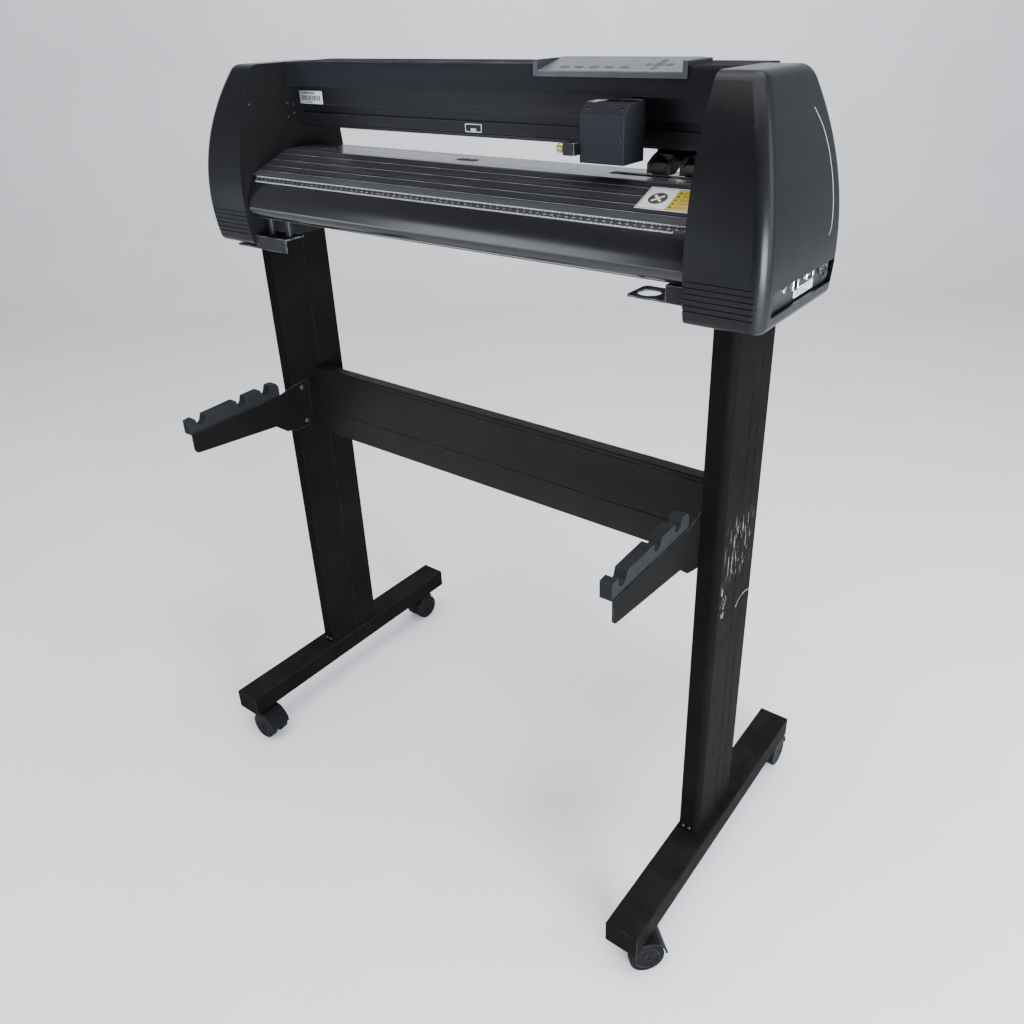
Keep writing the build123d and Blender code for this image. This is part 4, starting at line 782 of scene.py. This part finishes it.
def key_prints():
    """Dark lens shapes on the function keys and arrowheads on the direction keys."""
    lens = [(5.2 * math.cos(math.tau * i / 24), 1.75 * math.sin(math.tau * i / 24)) for i in range(24)]
    for i in range(1, 6):
        bm = bmesh.new()
        prism(bm, key_top("key_%d" % i), lens, PRINT_THICK)
        piece("key_print_%d" % i, mesh_from(bm, "key_print"), "ink", body="key_%d_button" % i, smooth=False)
    head = [(-2.6, -1.8), (2.6, -1.8), (0.35, 2.2), (-0.35, 2.2)]
    for name, turn in (("up", 0), ("left", 90), ("down", 180), ("right", 270)):
        bm = bmesh.new()
        matrix = key_top("arrow_" + name) @ Matrix.Rotation(math.radians(turn), 4, "Z")
        prism(bm, matrix, head, PRINT_THICK)
        piece("arrow_print_" + name, mesh_from(bm, "arrow_print"), "ink", body="arrow_%s_button" % name,
              smooth=False)
    bm = bmesh.new()
    square = [(-3.6, -2.6), (-2.6, -3.6), (2.6, -3.6), (3.6, -2.6),
              (3.6, 2.6), (2.6, 3.6), (-2.6, 3.6), (-3.6, 2.6)]
    prism(bm, key_top("arrow_centre"), square, PRINT_THICK)
    piece("centre_print", mesh_from(bm, "centre_print"), "ink", body="arrow_centre_button", smooth=False)


key_prints()


# ---------------------------------------------------------------- carriage details

cover_low, cover_high = millimetres("carriage_cover")
COVER_SCREW = ((2.1, 0), (2.15, 0.7), (1.6, 1.3), (0.6, 1.0))


def carriage_details():
    """The flex plate and its clamp bar over the cover, and the screws sunk in the cover."""
    bm = bmesh.new()
    outline = [(0.6, -11.5), (13.0, -14.0), (16.5, 14.0), (0.6, 14.0)]
    prism(bm, basis((cover_low.x, cover_high.y - 16.0, cover_high.z - 0.05), (1, 0, 0), (0, 0, 1)), outline, 0.9)
    piece("carriage_flex_plate", mesh_from(bm, "carriage_flex_plate"), "ribbon", body="carriage")
    bm = bmesh.new()
    slab(bm, basis((cover_high.x - 22.5, cover_high.y - 4.5, cover_high.z - 0.05), (1, 0, 0), (0, 0, 1)),
         44.0, 4.6, 2.6, 0.5)
    piece("carriage_clamp_bar", mesh_from(bm, "carriage_clamp_bar"), "clamp", body="carriage")
    bm = bmesh.new()
    brow = Vector((0, -11.8, 13.0)).normalized()
    for x in (cover_low.x + 6.5, cover_high.x - 7.0):
        at = Vector((x, cover_low.y + 7.2, cover_high.z - 5.2)) - brow * 2.6
        lathe(bm, basis(at, (1, 0, 0), brow), COVER_SCREW, 20)
    lathe(bm, facing_front(cover_high.x - 5.5, cover_low.y + 2.4, 1051.0), COVER_SCREW, 20)
    piece("carriage_cover_screws", mesh_from(bm, "carriage_cover_screws"), "ink", body="carriage")


carriage_details()


# ---------------------------------------------------------------- right cap: moulded line with painted highlight, connectors, labels

CAP_AXIS_X = -7.0
CAP_AXIS_Z = 935.0
CAP_SIDE_RADIUS = 458.0


def cap_side_x(z):
    """The cap's bowed side: its distance from the middle at a height."""
    return CAP_AXIS_X + math.sqrt(CAP_SIDE_RADIUS**2 - (z - CAP_AXIS_Z) ** 2)


BEAD_POINTS = ((44.0, 1086.0), (53.5, 1073.0), (60.5, 1059.5), (66.5, 1039.0), (70.2, 1012.0), (71.3, 990.0),
               (70.2, 972.0), (67.8, 961.0), (62.5, 953.5))


def smooth_line(points, steps=7):
    """A Catmull-Rom line through (y, z) points."""
    made = []
    ends = [points[0], *points, points[-1]]
    for a, b, c, d in zip(ends, ends[1:], ends[2:], ends[3:]):
        for i in range(steps):
            t = i / steps
            made.append(tuple(0.5 * (2 * q + (r - p) * t + (2 * p - 5 * q + 4 * r - s) * t * t
                                     + (3 * q - p - 3 * r + s) * t**3) for p, q, r, s in zip(a, b, c, d)))
    return made + [points[-1]]


def cap_beads():
    """The fine moulded line that curves down each cap's outer side, made pale as a painted highlight."""
    for side, name in ((1, "right"), (-1, "left")):
        bm = bmesh.new()
        line = [(side * (cap_side_x(z) - 0.12), y, z) for y, z in smooth_line(BEAD_POINTS)]
        sweep(bm, line, 0.42)
        piece(name + "_cap_seam_highlight", mesh_from(bm, name + "_cap_seam_highlight"), "highlight_and_scratch")


cap_beads()

PORT_FACE = 443.0


def on_port(y, z, out=0.0):
    """A frame on the connector plate, X to the rear and Y up."""
    return basis((PORT_FACE + out, y, z), (0, 1, 0), (1, 0, 0))


def rounded_frame(bm, matrix, length, width, wall, height, corner):
    """A tube of rounded-rectangle section, standing on the matrix's XY plane."""
    def outline(shrink):
        points = []
        radius = max(corner - shrink, 0.25)
        x, y = length / 2 - shrink - radius, width / 2 - shrink - radius
        for sx, sy, first in ((1, 1, 0), (-1, 1, 90), (-1, -1, 180), (1, -1, 270)):
            for k in range(5):
                angle = math.radians(first + 22.5 * k)
                points.append((sx * x + radius * math.cos(angle), sy * y + radius * math.sin(angle)))
        return points
    outer, inner = outline(0.0), outline(wall)
    rings = []
    for points, z in ((outer, 0), (outer, height), (inner, height), (inner, 0)):
        rings.append([bm.verts.new(matrix @ Vector((x, y, z))) for x, y in points])
    rings.append(rings[0])
    for low, high in zip(rings, rings[1:]):
        for i in range(len(outer)):
            j = (i + 1) % len(outer)
            bm.faces.new((low[i], low[j], high[j], high[i]))


def connectors():
    """Metal shells, an insert and screws on the connector plate, a barred label and the rocker's mark."""
    bm = bmesh.new()
    rounded_frame(bm, on_port(-13.0, 916.25, 0.1), 12.6, 12.1, 0.55, 4.9, 1.4)
    rounded_frame(bm, on_port(26.0, 918.0, 0.1), 17.5, 9.5, 0.8, 4.9, 2.8)
    for y in (12.8, 39.2):
        lathe(bm, on_port(y, 918.0, 3.3), ((2.5, 0), (2.5, 0.8), (2.1, 1.0), (1.0, 0.95)), 6)
    lathe(bm, on_port(-34.0, 914.0), ((3.4, 0), (3.4, 0.8), (2.6, 1.5), (1.0, 1.7)), 24)
    lathe(bm, on_port(62.0, 916.5, 2.4), ((1.15, 0), (1.15, 1.0), (0.8, 1.3)), 16)
    piece("connector_shells", mesh_from(bm, "connector_shells"), "steel")
    bm = bmesh.new()
    slab(bm, on_port(26.0, 918.0, 1.55), 14.0, 6.2, 1.6, 0.4)
    piece("serial_insert", mesh_from(bm, "serial_insert"), "blue")
    bm = bmesh.new()
    slab(bm, on_port(22.5, 903.0), 55.0, 10.0, STICKER_THICK)
    piece("port_label", mesh_from(bm, "port_label"), "white")
    bm = bmesh.new()
    for row, short in ((2.6, 8.0), (0.0, 20.0), (-2.6, 14.0)):
        slab(bm, on_port(22.5 - short / 2, 903.0 + row, STICKER_THICK), 48.0 - short, 1.1, 0.05)
    piece("port_label_bars", mesh_from(bm, "port_label_bars"), "ink", smooth=False)
    bm = bmesh.new()
    outermost = millimetres("power_rocker")[1].x
    lean = math.radians(-8.0) - 0.2
    mark = basis((outermost - 1.35, 80.0, 916.3), (0, 1, 0), (math.cos(lean), 0, -math.sin(lean)))
    slab(bm, mark, 0.8, 3.0, 0.12)
    piece("rocker_mark", mesh_from(bm, "rocker_mark"), "white", body="power_switch", smooth=False)


connectors()


# ---------------------------------------------------------------- right column: one long scratch

def column_scratch():
    """A curved scratch across the right column's outer face."""
    face = millimetres("right_column")[1].x
    scratch = ((6.0, 470.0), (13.0, 476.0), (25.0, 480.0), (40.0, 478.5), (51.0, 473.0))
    line = [(face, y, z) for y, z in smooth_line(scratch)]
    bm = bmesh.new()
    sweep(bm, line, 0.5, flat=0.2)
    piece("column_scratch", mesh_from(bm, "column_scratch"), "highlight_and_scratch")


column_scratch()


# ---------------------------------------------------------------- casters: hub caps

WHEEL_GAP_HALF = 4.5
WHEEL_WIDTH = 14.5
HUB_RECESS = 1.6


def caster_caps():
    """A domed cap and five spokes on the outer side of every wheel."""
    face = WHEEL_GAP_HALF + WHEEL_WIDTH - HUB_RECESS
    for joint in frame["joints"]:
        if not joint["name"].endswith("_caster_roll"):
            continue
        axis = Vector(joint["axis"])
        centre = Vector(joint["pos_m"]) / MM
        bm = bmesh.new()
        for way in (-1, 1):
            matrix = basis(centre + axis * way * face, (0, 0, 1), axis * way)
            lathe(bm, matrix, ((7.0, -0.1), (7.0, 0.9), (6.0, 1.4), (3.2, 1.45), (2.9, 1.0), (1.0, 0.9)), 36)
            for k in range(5):
                turn = Matrix.Rotation(math.tau * k / 5, 4, "Z") @ Matrix.Translation((11.8, 0, -0.1))
                slab(bm, matrix @ turn, 8.0, 2.2, 1.1, 0.5)
        name = joint["name"].replace("_roll", "_hubs")
        piece(name, mesh_from(bm, name), "wheel", body=joint["child"])


caster_caps()


# ---------------------------------------------------------------- stage, light and camera

CAMERA_YAW = math.radians(37.79)


def backdrop():
    """A pale floor that sweeps up into a wall behind the object, with painted shade on the floor behind the camera.
    """
    front, rear, sweep_radius, wall_top, below = -7.0, 2.6, 1.6, 7.0, 0.0004
    bm = bmesh.new()
    profile = [(front, 0.0), (rear, 0.0)]
    for i in range(1, 13):
        angle = math.radians(90 * i / 12)
        profile.append((rear + sweep_radius * math.sin(angle), sweep_radius - sweep_radius * math.cos(angle)))
    profile.append((rear + sweep_radius, wall_top))
    turn = Matrix.Rotation(CAMERA_YAW, 4, "Z")
    rows = []
    for along, height in profile:
        rows.append([bm.verts.new(turn @ Vector((across, along, height - below))) for across in (-9.0, 14.5)])
    for low, high in zip(rows, rows[1:]):
        bm.faces.new((low[0], low[1], high[1], high[0]))
    mesh = bpy.data.meshes.new("studio_floor")
    bm.to_mesh(mesh)
    bm.free()
    made = bpy.data.objects.new("studio_floor", mesh)
    bpy.context.scene.collection.objects.link(made)
    material, tree, shader, coords = start_material("studio_pale")
    tone = mix_colour(tree, remap(tree, noise(tree, coords, 3, 4), 0.3, 0.7), (0.86, 0.86, 0.86), (0.9, 0.9, 0.9))
    ahead = node(tree, "ShaderNodeVectorMath", operation="DOT_PRODUCT")
    tree.links.new(coords, ahead.inputs[0])
    ahead.inputs[1].default_value = (-0.613, 0.790, 0.0)
    # painted shade: the floor behind the camera is coloured dark so that the machine's lower faces reflect a dim
    # room
    painted_shade_behind_camera = remap(tree, ahead.outputs["Value"], -1.3, -4.5, 0.0, 0.45, smooth=True)
    tone = mix_colour(tree, painted_shade_behind_camera, tone, (0.16, 0.16, 0.165))
    tree.links.new(tone, shader.inputs["Base Color"])
    shader.inputs["Roughness"].default_value = 0.7
    mesh.materials.append(material)
    for polygon in mesh.polygons:
        polygon.use_smooth = True


def area_light(name, at, aim, size, power, tint):
    """A soft rectangular light at a place, turned to its aim."""
    data = bpy.data.lights.new(name, "AREA")
    data.shape = "RECTANGLE"
    data.size, data.size_y = size
    data.energy = power
    data.color = tint
    made = bpy.data.objects.new(name, data)
    bpy.context.scene.collection.objects.link(made)
    made.location = at
    made.rotation_euler = (Vector(aim) - Vector(at)).to_track_quat("-Z", "Y").to_euler()


def camera():
    """The photograph's viewpoint."""
    yaw, pitch, roll = CAMERA_YAW, math.radians(27.10), math.radians(-1.89)
    ahead = Vector((-math.sin(yaw) * math.cos(pitch), math.cos(yaw) * math.cos(pitch), -math.sin(pitch)))
    right = Vector((math.cos(yaw), math.sin(yaw), 0))
    up = right.cross(ahead)
    right_rolled = right * math.cos(roll) + up * math.sin(roll)
    up_rolled = up * math.cos(roll) - right * math.sin(roll)
    data = bpy.data.cameras.new("camera")
    data.sensor_width = 36.0
    data.lens = 31.257
    data.shift_x = -0.01445
    data.shift_y = -0.0457
    data.clip_start = 0.05
    data.clip_end = 60
    made = bpy.data.objects.new("camera", data)
    bpy.context.scene.collection.objects.link(made)
    turn = Matrix((right_rolled, up_rolled, -ahead)).transposed().to_4x4()
    turn.translation = Vector((0.7815, -0.9183, 1.1831))
    made.matrix_world = turn
    bpy.context.scene.camera = made


def surroundings():
    """A dim studio: darker overhead and in front, brighter behind, to the right and a little to the left."""
    world = bpy.data.worlds.new("studio")
    bpy.context.scene.world = world
    world.use_nodes = True
    tree = world.node_tree
    coords = tree.nodes.new("ShaderNodeTexCoord").outputs["Generated"]
    split = tree.nodes.new("ShaderNodeSeparateXYZ")
    tree.links.new(coords, split.inputs[0])
    right = remap(tree, split.outputs["X"], -0.2, 1.0, smooth=True)
    behind = remap(tree, split.outputs["Y"], -0.3, 0.8, smooth=True)
    high = remap(tree, split.outputs["Z"], 0.35, 0.9, 1.0, 0.35, smooth=True)
    side = math_node(tree, "MAXIMUM", right, behind)
    left = math_node(tree, "MULTIPLY", remap(tree, split.outputs["X"], -0.5, -0.85, smooth=True), 0.5)
    side = math_node(tree, "MAXIMUM", side, left)
    power = remap(tree, math_node(tree, "MULTIPLY", side, high), 0.0, 1.0, 0.12, 0.8)
    tint = mix_colour(tree, side, (0.95, 0.96, 1.0), (0.80, 0.88, 1.0))
    background = tree.nodes["Background"]
    tree.links.new(tint, background.inputs["Color"])
    tree.links.new(power, background.inputs["Strength"])


backdrop()
surroundings()
for light in (
    ("overhead", (0.2, -0.2, 3.4), (0.0, 0.0, 0.0), (3.6, 3.0), 150, (1, 1, 1)),
    ("right", (2.9, 0.7, 1.5), (0.3, 0.0, 0.8), (1.0, 2.6), 48, (0.84, 0.90, 1.0)),
    ("low_front", (-2.4, -3.2, 0.35), (0.0, 0.0, 0.7), (2.6, 0.5), 22, (0.86, 0.92, 1.0)),
    ("window_front", (-1.73, -2.47, 1.24), (0.1, -0.1, 0.94), (1.0, 0.8), 17, (0.84, 0.88, 1.0)),
    ("right_front", (2.62, -1.16, 0.62), (0.44, -0.15, 0.95), (1.6, 0.7), 230, (0.84, 0.90, 1.0)),
):
    area_light(*light)
camera()
